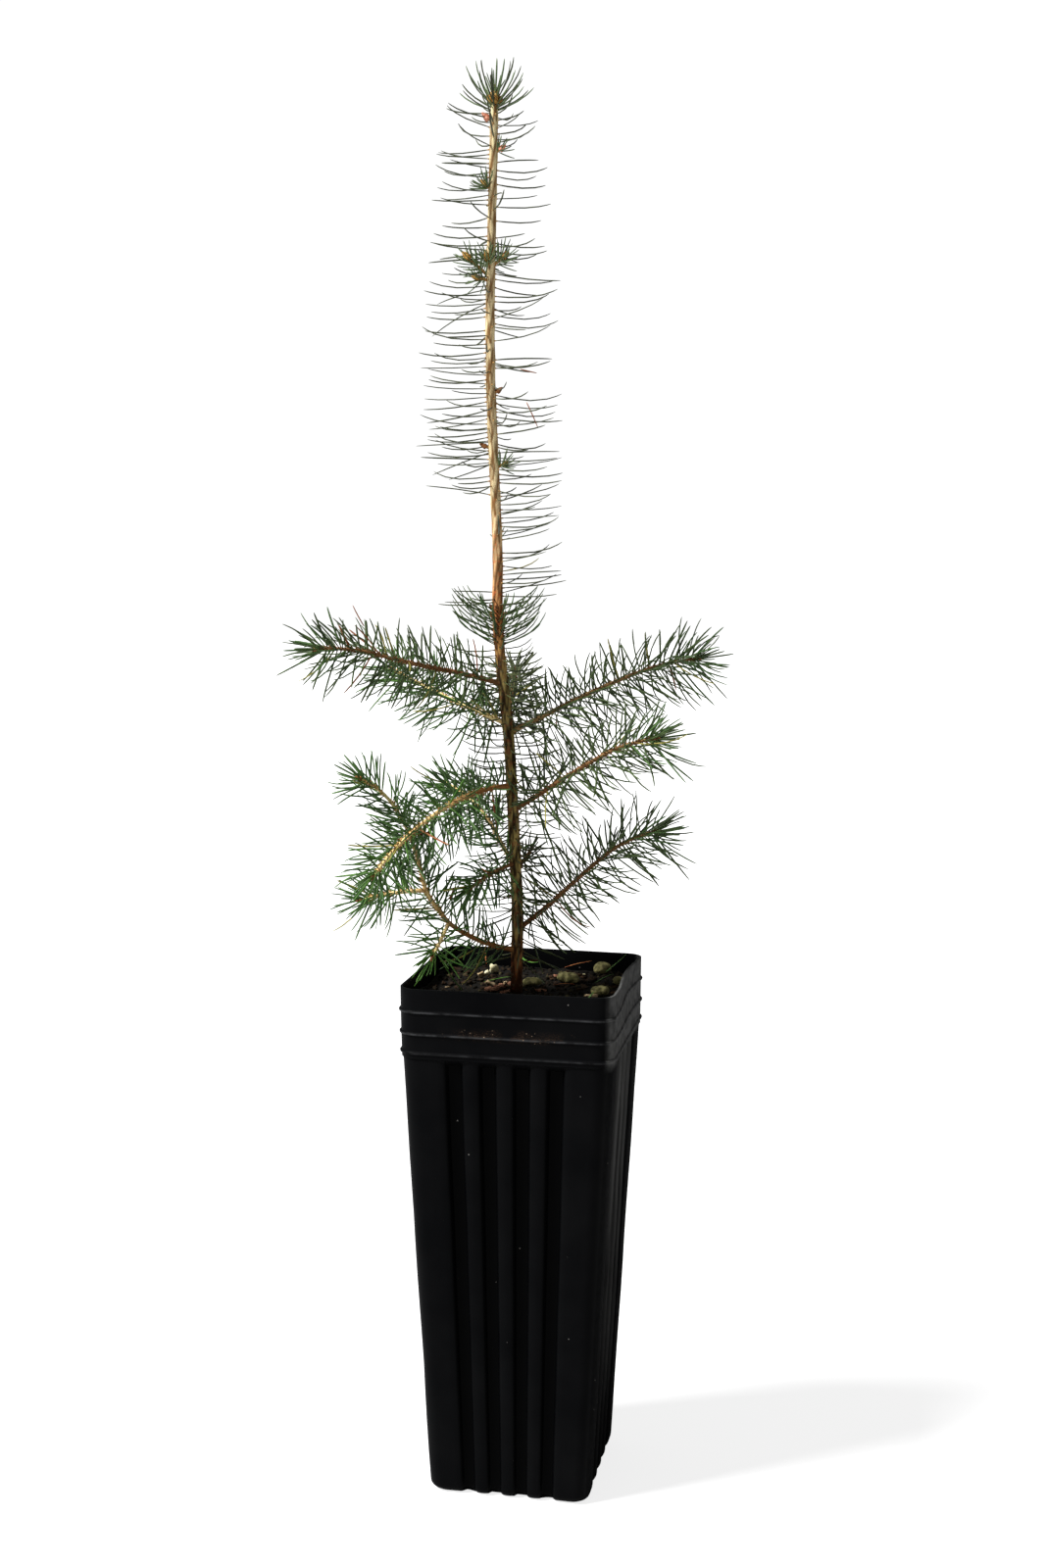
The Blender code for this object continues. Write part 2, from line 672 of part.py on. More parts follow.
def stem_stretches():
    """The stretches under the whorl that lie between one bough's foot and the next."""
    spans = [foot_span(bough.height, bough.climbs[0], bough.radius) for bough in BOUGHS]
    spans.append((LEADER[0].low - GAP, LEADER[0].high))
    spans.sort()
    low_end = foot_span(ARCH_HEIGHT, ARCH_FIRST[1][0], ARCH_RADII[0])[1]
    high_end = LEADER[0].low
    stretches = []
    low = low_end
    for foot, top in spans:
        if foot - low > SHORTEST_SLEEVE:
            share = ((low + foot) / 2 - low_end) / (high_end - low_end)
            rise = STEM_RISES[0] + (STEM_RISES[1] - STEM_RISES[0]) * share
            needles = round((foot - low) * STEM_NEEDLES_PER_METRE)
            name = f"stem_{len(stretches) + 1}"
            stretches.append(Stretch(name, low, foot, needles, STEM_REACH, (rise - 4, rise + 4), FULL_ARC))
        low = max(low, top)
    return stretches


def taper(first, last, count):
    return [first + (last - first) * i / (count - 1) for i in range(count)]


def build_limb(name, points, radii, cutter, room, materials):
    limb = make_object(name, build_tube(points, radii, TWIG_SIDES), materials["bark"], smooth_angle=50)
    if cutter is not None:
        add_boolean(limb, cutter, "DIFFERENCE")
    room.add(name, points, max(radii[1:]))
    return limb


def plan_boughs():
    """Each bough's limb and the line of the twig that carries its needles."""
    limbs = []
    twigs = []
    for bough in BOUGHS:
        steps = max(4, round(bough.length / LINE_STEP))
        line = grow_line(trunk_centre(bough.height), bough.azimuth, bough.climbs, bough.length, steps)
        limb = cut_line(line, 0.0, bough.bare)
        radii = taper(bough.radius, bough.radius * LIMB_TAPER, len(limb))
        radii[0] = bough.radius * FOOT_SWELL
        limbs.append(("bough_" + bough.name, limb, radii, True))
        twig = cut_line(line, bough.bare + GAP, bough.length)
        radii = taper(bough.radius * LIMB_TAPER, TWIG_TIP, len(twig))
        twigs.append(("needles_" + bough.name, twig, radii, bough.needles, bough.reach))
    return limbs, twigs


def plan_arch():
    """The low bough: two limbs in line, and three twigs that leave the fork and the bend."""
    length, climbs = ARCH_FIRST
    first = grow_line(trunk_centre(ARCH_HEIGHT), ARCH_AZIMUTH, climbs, length, 5)
    fork = first[-1]
    length, climbs = ARCH_SECOND
    second = grow_line(fork + direction(ARCH_AZIMUTH, climbs[0]) * GAP, ARCH_AZIMUTH, climbs, length, 3)
    bend = second[-1]
    first_radii = taper(ARCH_RADII[0], ARCH_RADII[1], len(first))
    first_radii[0] = ARCH_RADII[0] * FOOT_SWELL
    second_radii = taper(ARCH_RADII[1], ARCH_RADII[2], len(second))
    limbs = [("bough_left_low", first, first_radii, True),
             ("bough_left_low_bend", second, second_radii, False)]
    below_bend = Vector((0, 0, -ARCH_BRANCH))
    starts = ((ARCH_RISE, bend + direction(ARCH_RISE.azimuth, ARCH_RISE.climbs[0]) * GAP),
              (ARCH_SIDE, bend + below_bend + direction(ARCH_SIDE.azimuth, 0) * ARCH_BRANCH),
              (ARCH_HANG, fork + direction(ARCH_HANG.azimuth, ARCH_HANG.climbs[0]) * ARCH_BRANCH))
    twigs = []
    for twig, start in starts:
        steps = max(3, round(twig.length / LINE_STEP))
        line = grow_line(start, twig.azimuth, twig.climbs, twig.length, steps)
        radii = taper(twig.radius, TWIG_TIP, len(line))
        twigs.append(("needles_" + twig.name, line, radii, twig.needles, twig.reach))
    return limbs, twigs


def reserve_rim(room):
    """The rim counts as a thing to keep clear of."""
    height = POT_HEIGHT - WALL
    half = RIM_HALF - WALL / 2
    corners = [Vector((x * half, y * half, height)) for x, y in ((1, 1), (-1, 1), (-1, -1), (1, -1), (1, 1))]
    room.add("pot", corners, WALL)


def main():
    clear_scene()
    materials = {name: make_material(name) for name in FINISHES}
    build_pot(materials["pot"])
    build_soil(materials["soil"])
    for pebble in PEBBLES:
        build_pebble(pebble, materials["pebble"])
    make_object("trunk", build_trunk_tube(0.0), materials["bark"], smooth_angle=50)
    cutter = make_object("trunk_clearance", build_trunk_tube(sleeve_gap()), None)
    hide_cutter(cutter)

    room = Room()
    reserve_rim(room)
    heights = trunk_heights()
    for low, high in zip(heights, heights[1:]):
        radius = read_profile(TRUNK_RADIUS, low)
        room.add("trunk", [trunk_centre(low), trunk_centre(high)], radius)
    limbs, twigs = plan_boughs()
    arch_limbs, arch_twigs = plan_arch()
    for name, points, radii, at_trunk in limbs + arch_limbs:
        build_limb(name, points, radii, cutter if at_trunk else None, room, materials)
    twigs += arch_twigs
    for name, points, radii, _, _ in twigs:
        room.add(name, points, radii[0])
    stretches = list(LEADER) + stem_stretches()
    for stretch in stretches:
        owner = "needles_" + stretch.name
        ends = [trunk_centre(stretch.low), trunk_centre(stretch.high)]
        radius = read_profile(TRUNK_RADIUS, stretch.low) + sleeve_gap() + SLEEVE_WALL
        room.add(owner, ends, radius)

    rng = random.Random(SEED)
    for name, points, radii, count, reach in twigs:
        core = make_object(name, build_tube(points, radii, TWIG_SIDES), materials["needles"])
        fuse_needles(core, twig_needles(room, name, points, radii, count, reach, rng))
    for stretch in stretches:
        name = "needles_" + stretch.name
        core = make_object(name, build_sleeve(stretch), materials["needles"])
        fuse_needles(core, sleeve_needles(room, name, stretch, rng))


main()
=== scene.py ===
# %% [markdown]
# # A young Norway spruce in its nursery pot
#
# The real thing is a seedling of about two feet, still in the tall square pot that it was grown
# in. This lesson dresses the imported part: a thin moulded pot, a fill of bark mix with pebbles on
# it, one stem with its boughs, and some 2,600 needles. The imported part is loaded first, because
# every piece takes its place from it.

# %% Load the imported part
import math
import random

import bmesh
import bpy
import numpy as np
from mathutils import Euler, Matrix, Vector, noise


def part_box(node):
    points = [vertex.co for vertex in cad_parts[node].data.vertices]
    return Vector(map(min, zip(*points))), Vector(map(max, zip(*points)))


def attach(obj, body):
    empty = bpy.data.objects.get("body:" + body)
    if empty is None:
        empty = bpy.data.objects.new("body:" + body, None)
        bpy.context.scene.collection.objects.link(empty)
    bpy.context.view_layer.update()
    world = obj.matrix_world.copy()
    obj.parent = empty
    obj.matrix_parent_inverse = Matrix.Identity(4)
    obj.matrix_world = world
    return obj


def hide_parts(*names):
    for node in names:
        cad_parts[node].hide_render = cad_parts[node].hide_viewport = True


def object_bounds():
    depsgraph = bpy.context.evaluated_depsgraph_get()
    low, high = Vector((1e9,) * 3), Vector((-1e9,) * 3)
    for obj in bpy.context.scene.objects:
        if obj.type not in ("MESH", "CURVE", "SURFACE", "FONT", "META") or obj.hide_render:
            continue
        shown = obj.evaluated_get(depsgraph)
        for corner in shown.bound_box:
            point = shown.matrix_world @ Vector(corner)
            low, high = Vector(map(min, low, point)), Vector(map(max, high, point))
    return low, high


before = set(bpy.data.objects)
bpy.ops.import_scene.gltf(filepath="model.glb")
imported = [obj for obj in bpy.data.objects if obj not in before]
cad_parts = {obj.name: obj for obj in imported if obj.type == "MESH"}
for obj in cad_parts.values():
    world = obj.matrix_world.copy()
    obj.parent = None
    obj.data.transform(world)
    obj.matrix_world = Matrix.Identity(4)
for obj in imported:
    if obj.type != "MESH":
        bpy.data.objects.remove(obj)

cad_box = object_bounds()
print("nodes:", len(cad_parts))
print("box in mm:", [round(1000 * c) for c in cad_box[1] - cad_box[0]])

# %% [markdown]
# ## Camera
#
# The plant stands close to the lens and a little below it, so the rim shows as a thin diamond and
# the pot narrows toward its foot. A camera is placed by three numbers for where it is and three
# for how it turns. The turn about its own axis comes first, and so it is multiplied in on the
# right.

# %% Camera
CAMERA_PLACE = (0.1867, -0.9444, 0.463)
CAMERA_DOWN = 7.24
CAMERA_LEFT = 11.28
CAMERA_ROLL = 0.22
CAMERA_LENS = 46.73

bpy.ops.object.select_all(action="DESELECT")
bpy.ops.object.camera_add(location=CAMERA_PLACE)
camera = bpy.context.object
turn = Euler((math.radians(90 - CAMERA_DOWN), 0, math.radians(CAMERA_LEFT))).to_matrix()
camera.rotation_euler = (turn @ Matrix.Rotation(math.radians(CAMERA_ROLL), 3, "Z")).to_euler()
camera.data.lens = CAMERA_LENS
bpy.context.scene.camera = camera
print("camera lens:", round(camera.data.lens, 2))

# %% [markdown]
# ## Floor and light
#
# A plant of thin needles reads best against white, and a black pot needs soft light that still has
# a side. A wide sun from the upper left gives the stem its lit edge, and an even white world fills
# the rest. The world and the floor are brighter where the camera looks straight at them, so that
# they join without a line and the shadow stays light. The Standard view transform keeps black as
# black.

# %% Floor and light
SUN_AZIMUTH = 211
SUN_HEIGHT = 48
SUN_STRENGTH = 5.5
SUN_SPREAD = 15
FILL = 0.18                # the world as the plant's light
WHITE = 1.05               # the world as the camera sees it
FLOOR_LIFT = 0.80
FLOOR_SIZE = 14


def aim(azimuth, height):
    """The turn that makes a lamp shine from this azimuth and height, in degrees."""
    level = math.cos(math.radians(height))
    toward = Vector((level * math.cos(math.radians(azimuth)),
                     level * math.sin(math.radians(azimuth)),
                     math.sin(math.radians(height))))
    return toward.to_track_quat("Z", "Y").to_euler()


def when_seen(tree, otherwise, seen):
    """A number that differs where the camera looks straight at a thing."""
    path = tree.nodes.new("ShaderNodeLightPath")
    change = tree.nodes.new("ShaderNodeMapRange")
    change.inputs["To Min"].default_value = otherwise
    change.inputs["To Max"].default_value = seen
    tree.links.new(path.outputs["Is Camera Ray"], change.inputs["Value"])
    return change.outputs["Result"]


bpy.ops.object.light_add(type="SUN", location=(-0.6, -0.4, 1.4))
sun = bpy.context.object
sun.name = "soft_sun"
sun.rotation_euler = aim(SUN_AZIMUTH, SUN_HEIGHT)
sun.data.energy = SUN_STRENGTH
sun.data.angle = math.radians(SUN_SPREAD)

world = bpy.data.worlds.new("white_room")
world.use_nodes = True
bpy.context.scene.world = world
background = world.node_tree.nodes["Background"]
background.inputs["Color"].default_value = (1.0, 1.0, 1.0, 1.0)
world.node_tree.links.new(when_seen(world.node_tree, FILL, WHITE), background.inputs["Strength"])
bpy.context.scene.view_settings.view_transform = "Standard"

bpy.ops.mesh.primitive_plane_add(size=FLOOR_SIZE)
floor = bpy.context.object
floor.name = "floor"
paper = bpy.data.materials.new("paper_white")
paper.use_nodes = True
paper_shader = paper.node_tree.nodes["Principled BSDF"]
paper_shader.inputs["Base Color"].default_value = (0.5, 0.5, 0.5, 1.0)
paper_shader.inputs["Roughness"].default_value = 0.9
paper_shader.inputs["Emission Color"].default_value = (1.0, 1.0, 1.0, 1.0)
paper.node_tree.links.new(when_seen(paper.node_tree, 0, FLOOR_LIFT),
                          paper_shader.inputs["Emission Strength"])
floor.data.materials.append(paper)
print("fill light:", FILL)

# %% [markdown]
# ## Working by hand, in code
#
# Blender's operators act on whatever is selected, so each step starts by selecting nothing. In
# edit mode the faces or edges for the next step are picked by where they are.

# %% Helpers for selecting
def start_fresh():
    """Leave edit mode and select nothing."""
    if bpy.context.object and bpy.context.object.mode != "OBJECT":
        bpy.ops.object.mode_set(mode="OBJECT")
    bpy.ops.object.select_all(action="DESELECT")


def take(obj):
    """Make this object the only one that the next operator acts on."""
    start_fresh()
    obj.select_set(True)
    bpy.context.view_layer.objects.active = obj


def edit(obj, kind):
    """Open an object in edit mode, to pick corners (VERT), edges (EDGE) or faces (FACE)."""
    take(obj)
    bpy.ops.object.mode_set(mode="EDIT")
    bpy.ops.mesh.select_mode(type=kind)


def open_whole(obj):
    """Open an object in edit mode with all of it selected."""
    edit(obj, "VERT")
    bpy.ops.mesh.select_all(action="SELECT")


def close_edit():
    bpy.ops.object.mode_set(mode="OBJECT")


def select_where(obj, kind, test):
    """In edit mode, select the corners, edges or faces that pass the test."""
    mesh = bmesh.from_edit_mesh(obj.data)
    for elements in (mesh.faces, mesh.edges, mesh.verts):
        for element in elements:
            element.select = False
    for element in getattr(mesh, kind):
        if test(element):
            element.select_set(True)
    bmesh.update_edit_mesh(obj.data)


def corners_of(obj):
    """The places of an object's corners, one row each."""
    places = np.empty(len(obj.data.vertices) * 3)
    obj.data.vertices.foreach_get("co", places)
    return places.reshape(-1, 3)


def put_corners(obj, places):
    obj.data.vertices.foreach_set("co", np.asarray(places, float).ravel())
    obj.data.update()


def rename(obj, name):
    obj.name = name
    obj.data.name = name
    return obj


# %% [markdown]
# ## Materials from shared effects
#
# Plastic, bark and soil all need blotches, grain and a fine unevenness. Each of these is made once
# as a node group and set to its own scale in every material. The groups read object coordinates,
# so a pattern keeps its real size and carries on from one piece to the next.

# %% Node groups
def add_group(name, inputs, outputs):
    """An empty shader group with named sockets: inputs with their first values, and outputs."""
    group = bpy.data.node_groups.new(name, "ShaderNodeTree")
    for title, value in inputs:
        socket = group.interface.new_socket(name=title, in_out="INPUT",
                                            socket_type="NodeSocketFloat")
        socket.default_value = value
    for title, kind in outputs:
        group.interface.new_socket(name=title, in_out="OUTPUT", socket_type=kind)
    return group, group.nodes.new("NodeGroupInput"), group.nodes.new("NodeGroupOutput")


def add_node(tree, kind, **values):
    """A shader node; each value is a property, or else a socket with _ for the spaces."""
    node = tree.nodes.new("ShaderNode" + kind)
    for key, value in values.items():
        if hasattr(node, key):
            setattr(node, key, value)
        else:
            node.inputs[key.replace("_", " ")].default_value = value
    return node


def wire(tree, *wires):
    """Join nodes: each wire is a node, its output's name, a node, and its input's name."""
    for source, output, target, entry in wires:
        tree.links.new(source.outputs[output], target.inputs[entry])


def window_noise(group, given, result, cloud):
    """Turn noise into a mask that rises from 0 to 1 as the noise goes from Low to High."""
    window = add_node(group, "MapRange")
    wire(group, (given, "Scale", cloud, "Scale"), (cloud, "Fac", window, "Value"),
         (given, "Low", window, "From Min"), (given, "High", window, "From Max"),
         (window, "Result", result, "Mask"))


def build_blotches():
    """Soft patches."""
    group, given, result = add_group(
        "blotches", (("Scale", 40.0), ("Detail", 4.0), ("Low", 0.45), ("High", 0.6)),
        (("Mask", "NodeSocketFloat"),))
    place = add_node(group, "TexCoord")
    cloud = add_node(group, "TexNoise")
    wire(group, (place, "Object", cloud, "Vector"), (given, "Detail", cloud, "Detail"))
    window_noise(group, given, result, cloud)
    return group


def build_streaks():
    """Grain drawn out along the height, for bark and for the flow of moulded plastic."""
    group, given, result = add_group(
        "streaks", (("Scale", 900.0), ("Shortening", 0.05), ("Low", 0.35), ("High", 0.65)),
        (("Mask", "NodeSocketFloat"),))
    place = add_node(group, "TexCoord")
    squeeze = add_node(group, "CombineXYZ", X=1.0, Y=1.0)
    drawn = add_node(group, "VectorMath", operation="MULTIPLY")
    cloud = add_node(group, "TexNoise", Detail=3.0)
    wire(group, (given, "Shortening", squeeze, "Z"), (place, "Object", drawn, 0),
         (squeeze, "Vector", drawn, 1), (drawn, "Vector", cloud, "Vector"))
    window_noise(group, given, result, cloud)
    return group


def build_specks():
    """Scattered round specks, such as grit: one in each few cells, of the Size given."""
    group, given, result = add_group(
        "specks", (("Scale", 500.0), ("Size", 0.12), ("Share", 0.3)),
        (("Mask", "NodeSocketFloat"),))
    place = add_node(group, "TexCoord")
    cells = add_node(group, "TexVoronoi")
    apart = add_node(group, "SeparateColor")
    chosen = add_node(group, "Math", operation="LESS_THAN")
    near = add_node(group, "Math", operation="LESS_THAN")
    both = add_node(group, "Math", operation="MULTIPLY")
    wire(group, (place, "Object", cells, "Vector"), (given, "Scale", cells, "Scale"),
         (cells, "Color", apart, "Color"), (apart, "Red", chosen, 0), (given, "Share", chosen, 1),
         (cells, "Distance", near, 0), (given, "Size", near, 1), (chosen, "Value", both, 0),
         (near, "Value", both, 1), (both, "Value", result, "Mask"))
    return group


def build_unevenness():
    """Fine bumps as a height in 0 to 1."""
    group, given, result = add_group(
        "unevenness", (("Scale", 800.0), ("Detail", 6.0)), (("Height", "NodeSocketFloat"),))
    place = add_node(group, "TexCoord")
    cloud = add_node(group, "TexNoise")
    wire(group, (place, "Object", cloud, "Vector"), (given, "Scale", cloud, "Scale"),
         (given, "Detail", cloud, "Detail"), (cloud, "Fac", result, "Height"))
    return group


EFFECTS = {"blotches": build_blotches(), "streaks": build_streaks(), "specks": build_specks(),
           "unevenness": build_unevenness()}
print("effects:", sorted(EFFECTS))

# %% Helpers for materials
def effect(tree, name, **values):
    """Place a shared effect in a material and give its first output."""
    node = tree.nodes.new("ShaderNodeGroup")
    node.node_tree = EFFECTS[name]
    for key, value in values.items():
        node.inputs[key.capitalize()].default_value = value
    return node.outputs[0]


def combine(tree, operation, one, other):
    """A mask put together with another mask, or with a number."""
    node = add_node(tree, "Math", operation=operation)
    tree.links.new(one, node.inputs[0])
    if isinstance(other, (int, float)):
        node.inputs[1].default_value = other
    else:
        tree.links.new(other, node.inputs[1])
    return node.outputs["Value"]


def times(tree, mask, *factors):
    """A mask made weaker by numbers or by other masks."""
    for factor in factors:
        mask = combine(tree, "MULTIPLY", mask, factor)
    return mask


def blend_colours(tree, below, above, mask, *factors):
    """Lay a colour (a socket or three numbers) over another by a mask, made weaker by factors."""
    mix = tree.nodes.new("ShaderNodeMix")
    mix.data_type = "RGBA"
    tree.links.new(times(tree, mask, *factors), mix.inputs["Factor"])
    for socket, colour in ((mix.inputs["A"], below), (mix.inputs["B"], above)):
        if isinstance(colour, tuple):
            socket.default_value = (*colour, 1.0)
        else:
            tree.links.new(colour, socket)
    return mix.outputs["Result"]


def ramp(tree, value, low, high, first=0.0, last=1.0):
    """A value turned into a mask that goes from first to last between low and high."""
    node = add_node(tree, "MapRange")
    limits = {"From Min": low, "From Max": high, "To Min": first, "To Max": last}
    for title, number in limits.items():
        node.inputs[title].default_value = number
    tree.links.new(value, node.inputs["Value"])
    return node.outputs["Result"]


def object_axes(tree):
    """The three object coordinates as sockets."""
    place, split = add_node(tree, "TexCoord"), add_node(tree, "SeparateXYZ")
    wire(tree, (place, "Object", split, "Vector"))
    return split.outputs


def read_attribute(tree, name):
    """A value that was kept on the mesh's corners."""
    return add_node(tree, "Attribute", attribute_name=name).outputs["Fac"]


def add_bump(tree, shader, height, strength, distance):
    node = add_node(tree, "Bump", Strength=strength, Distance=distance)
    tree.links.new(height, node.inputs["Height"])
    tree.links.new(node.outputs["Normal"], shader.inputs["Normal"])


def start_material(name, **sockets):
    """A material with its Principled shader, whose plain numbers are set on its own sockets."""
    material = bpy.data.materials.new(name)
    material.use_nodes = True
    shader = material.node_tree.nodes["Principled BSDF"]
    for key, value in sockets.items():
        shader.inputs[key.replace("_", " ")].default_value = value
    return material, material.node_tree, shader


# %% [markdown]
# ## The pot
#
# A tree pot is blown or moulded from thin black plastic. Four flutes run down each side to guide
# the roots, the ribs between them are rounded, and the foot is rounded off like a row of noses. A
# collar with three beads stiffens the rim. A moulded thing is best raised: one rounded square is
# extruded ring by ring and scaled each time, so the taper, the collar and the beads come out of
# one skin. The flutes are then pushed in, and a Solidify modifier gives the wall.

# %% Pot: sizes
POT_HEIGHT = 0.250
RIM_HALF = 0.0508
COLLAR_HALF = 0.0504
SHOULDER_HALF = 0.0499
FOOT_HALF = 0.0389
FOOT_CORNER = 0.0068
FOOT_RADIUS = 0.0046
COLLAR_HEIGHT = 0.033
BEAD_DROPS = (0.0107, 0.0212, 0.0303)
BEAD_RADIUS = 0.0009
WALL = 0.0011
LIP = 0.0035               # from the last ring to the rim
FLUTE_CENTRES = (-0.486, -0.162, 0.162, 0.486)
FLUTE_PITCH = 0.162        # half of the distance from flute to flute
FLUTE_DEPTH = 0.0034
FLUTE_TOP = 0.2136
FLUTE_END = 0.2166
EDGE_PLACES = (0.28, 0.36, 0.42, 0.48, 0.54, 0.61, 0.70, 0.84)   # edges from a flute's centre
ROUND_STEPS = 6            # of the foot, of each bead, and of the flutes' roof
WALL_STEPS = 14
CORNER_CUTS = 8


def body_half(height):
    """Half the width of the tapered body at this height."""
    return FOOT_HALF + (SHOULDER_HALF - FOOT_HALF) * height / (POT_HEIGHT - COLLAR_HEIGHT)


def collar_half(height):
    """Half the width of the collar at this height."""
    return RIM_HALF + (COLLAR_HALF - RIM_HALF) * (POT_HEIGHT - height) / COLLAR_HEIGHT


def pot_rings():
    """Height and half width of every ring of the outer skin, from the foot to the rim."""
    rings = []
    for step in range(ROUND_STEPS + 1):
        angle = math.pi / 2 * step / ROUND_STEPS
        drawn_in = FOOT_RADIUS * (1 - math.sin(angle))
        height = FOOT_RADIUS * (1 - math.cos(angle))
        rings.append((height, body_half(height) - drawn_in))
    for low, high, steps in ((FOOT_RADIUS, FLUTE_TOP, WALL_STEPS),
                             (FLUTE_TOP, FLUTE_END, ROUND_STEPS)):
        for step in range(1, steps + 1):
            height = low + (high - low) * step / steps
            rings.append((height, body_half(height)))
    rings.append((POT_HEIGHT - COLLAR_HEIGHT, collar_half(POT_HEIGHT - COLLAR_HEIGHT)))
    for drop in reversed(BEAD_DROPS):
        for step in range(ROUND_STEPS + 1):
            angle = math.pi * step / ROUND_STEPS
            height = POT_HEIGHT - drop - BEAD_RADIUS * math.cos(angle)
            rings.append((height, collar_half(height) + 0.8 * BEAD_RADIUS * math.sin(angle)))
    rings.append((POT_HEIGHT - LIP, collar_half(POT_HEIGHT - LIP)))
    rings.append((POT_HEIGHT, RIM_HALF))
    return rings


def flute_shares():
    """Where the upright edges stand on each side, as shares of the half width."""
    shares = {FLUTE_CENTRES[0] - FLUTE_PITCH}
    for centre in FLUTE_CENTRES:
        for place in EDGE_PLACES:
            shares.update((centre - place * FLUTE_PITCH, centre + place * FLUTE_PITCH))
        shares.add(centre + FLUTE_PITCH)
    return sorted(round(share, 5) for share in shares)


# %% Pot: raise the skin
HAIR = 1e-6                # places closer than this are the same


def raise_pot():
    """Extrude and scale a rounded square through all rings."""
    rings = pot_rings()
    first = rings[0][1]
    start_fresh()
    bpy.ops.mesh.primitive_plane_add(size=2 * first)
    pot = rename(bpy.context.object, "pot_shell")
    edit(pot, "EDGE")
    bpy.ops.mesh.select_all(action="SELECT")
    shares = flute_shares()
    bpy.ops.mesh.subdivide(number_cuts=len(shares))
    mesh = bmesh.from_edit_mesh(pot.data)
    inner = [vert for vert in mesh.verts if max(abs(vert.co.x), abs(vert.co.y)) < first - 10 * HAIR]
    bmesh.ops.delete(mesh, geom=inner, context="VERTS")
    border = [edge for edge in mesh.edges if edge.is_valid]
    bmesh.ops.contextual_create(mesh, geom=border)
    spots = np.linspace(-1, 1, len(shares) + 2)[1:-1]
    for vert in mesh.verts:
        for axis, other in ((0, 1), (1, 0)):
            if abs(abs(vert.co[other]) - first) < HAIR and abs(vert.co[axis]) < first - HAIR:
                vert.co[axis] = shares[int(np.argmin(abs(spots - vert.co[axis] / first)))] * first
    bmesh.update_edit_mesh(pot.data)
    bpy.ops.mesh.select_mode(type="VERT")
    select_where(pot, "verts", lambda vert: min(abs(vert.co.x), abs(vert.co.y)) > first - HAIR)
    bpy.ops.mesh.bevel(offset=FOOT_CORNER * first / FOOT_HALF, segments=CORNER_CUTS,
                       affect="VERTICES")
    bpy.ops.mesh.select_mode(type="FACE")
    bpy.ops.mesh.select_all(action="SELECT")
    for (low, narrow), (high, wide) in zip(rings, rings[1:]):
        bpy.ops.mesh.extrude_region_move(TRANSFORM_OT_translate={"value": (0, 0, high - low)})
        factor = wide / narrow
        bpy.ops.transform.resize(value=(factor, factor, 1), center_override=(0, 0, 0))
    bpy.ops.mesh.delete(type="ONLY_FACE")
    bpy.ops.mesh.select_all(action="SELECT")
    bpy.ops.mesh.normals_make_consistent(inside=False)
    close_edit()
    floor_face = min(pot.data.polygons, key=lambda face: face.center.z - face.area)
    if floor_face.normal.z > 0:
        pot.data.flip_normals()
    return pot


pot = raise_pot()
print("pot skin:", len(pot.data.vertices), "corners")

# %% [markdown]
# The flutes are deepest under the collar, with a sloping roof, and flatten a little toward the
# foot. Thin plastic is never quite true, so the skin waves by a few tenths of a millimetre, and
# the rim bows. What the material needs is kept on the corners as attributes: how deep in a flute
# they are, and whether they are on a bead or on the right side.

# %% Pot: push in the flutes and give the wall
BOW_START = 0.214          # the height at which the collar starts to bow
BOW_IN = 0.0023            # of the rim on the +X side
BOW_OUT = 0.0014           # of the rim on the +Y side
# how pale each bead is painted: scuffs, and a painted highlight along it
BEAD_WEAR_AND_HIGHLIGHT = (0.9, 1.0, 0.45)
DRAIN_PLACE = 0.020
DRAIN_RADIUS = 0.0045


def smooth_step(value):
    """A soft step from 0 to 1."""
    value = np.clip(value, 0, 1)
    return value * value * (3 - 2 * value)


def bow_collar(places):
    """Bend the top of the thin wall: in on the +X side, and out on the +Y side."""
    x, y, z = places.T
    rise = smooth_step((z - BOW_START) / 0.036)
    on_right = smooth_step((x / RIM_HALF - 0.55) / 0.35)
    on_back = smooth_step((y / RIM_HALF - 0.55) / 0.35)
    inward = np.cos(np.clip((y - 0.008) / 0.042, -1, 1) * math.pi / 2) ** 2
    outward = np.cos(np.clip(x / 0.045, -1, 1) * math.pi / 2) ** 2
    bowed = places.copy()
    bowed[:, 0] -= BOW_IN * inward * on_right * rise
    bowed[:, 1] += BOW_OUT * outward * on_back * rise
    return bowed


def keep_values(obj, name, values):
    """Keep one number for each corner as an attribute."""
    attribute = obj.data.attributes.new(name, "FLOAT", "POINT")
    attribute.data.foreach_set("value", np.asarray(values, np.float32))


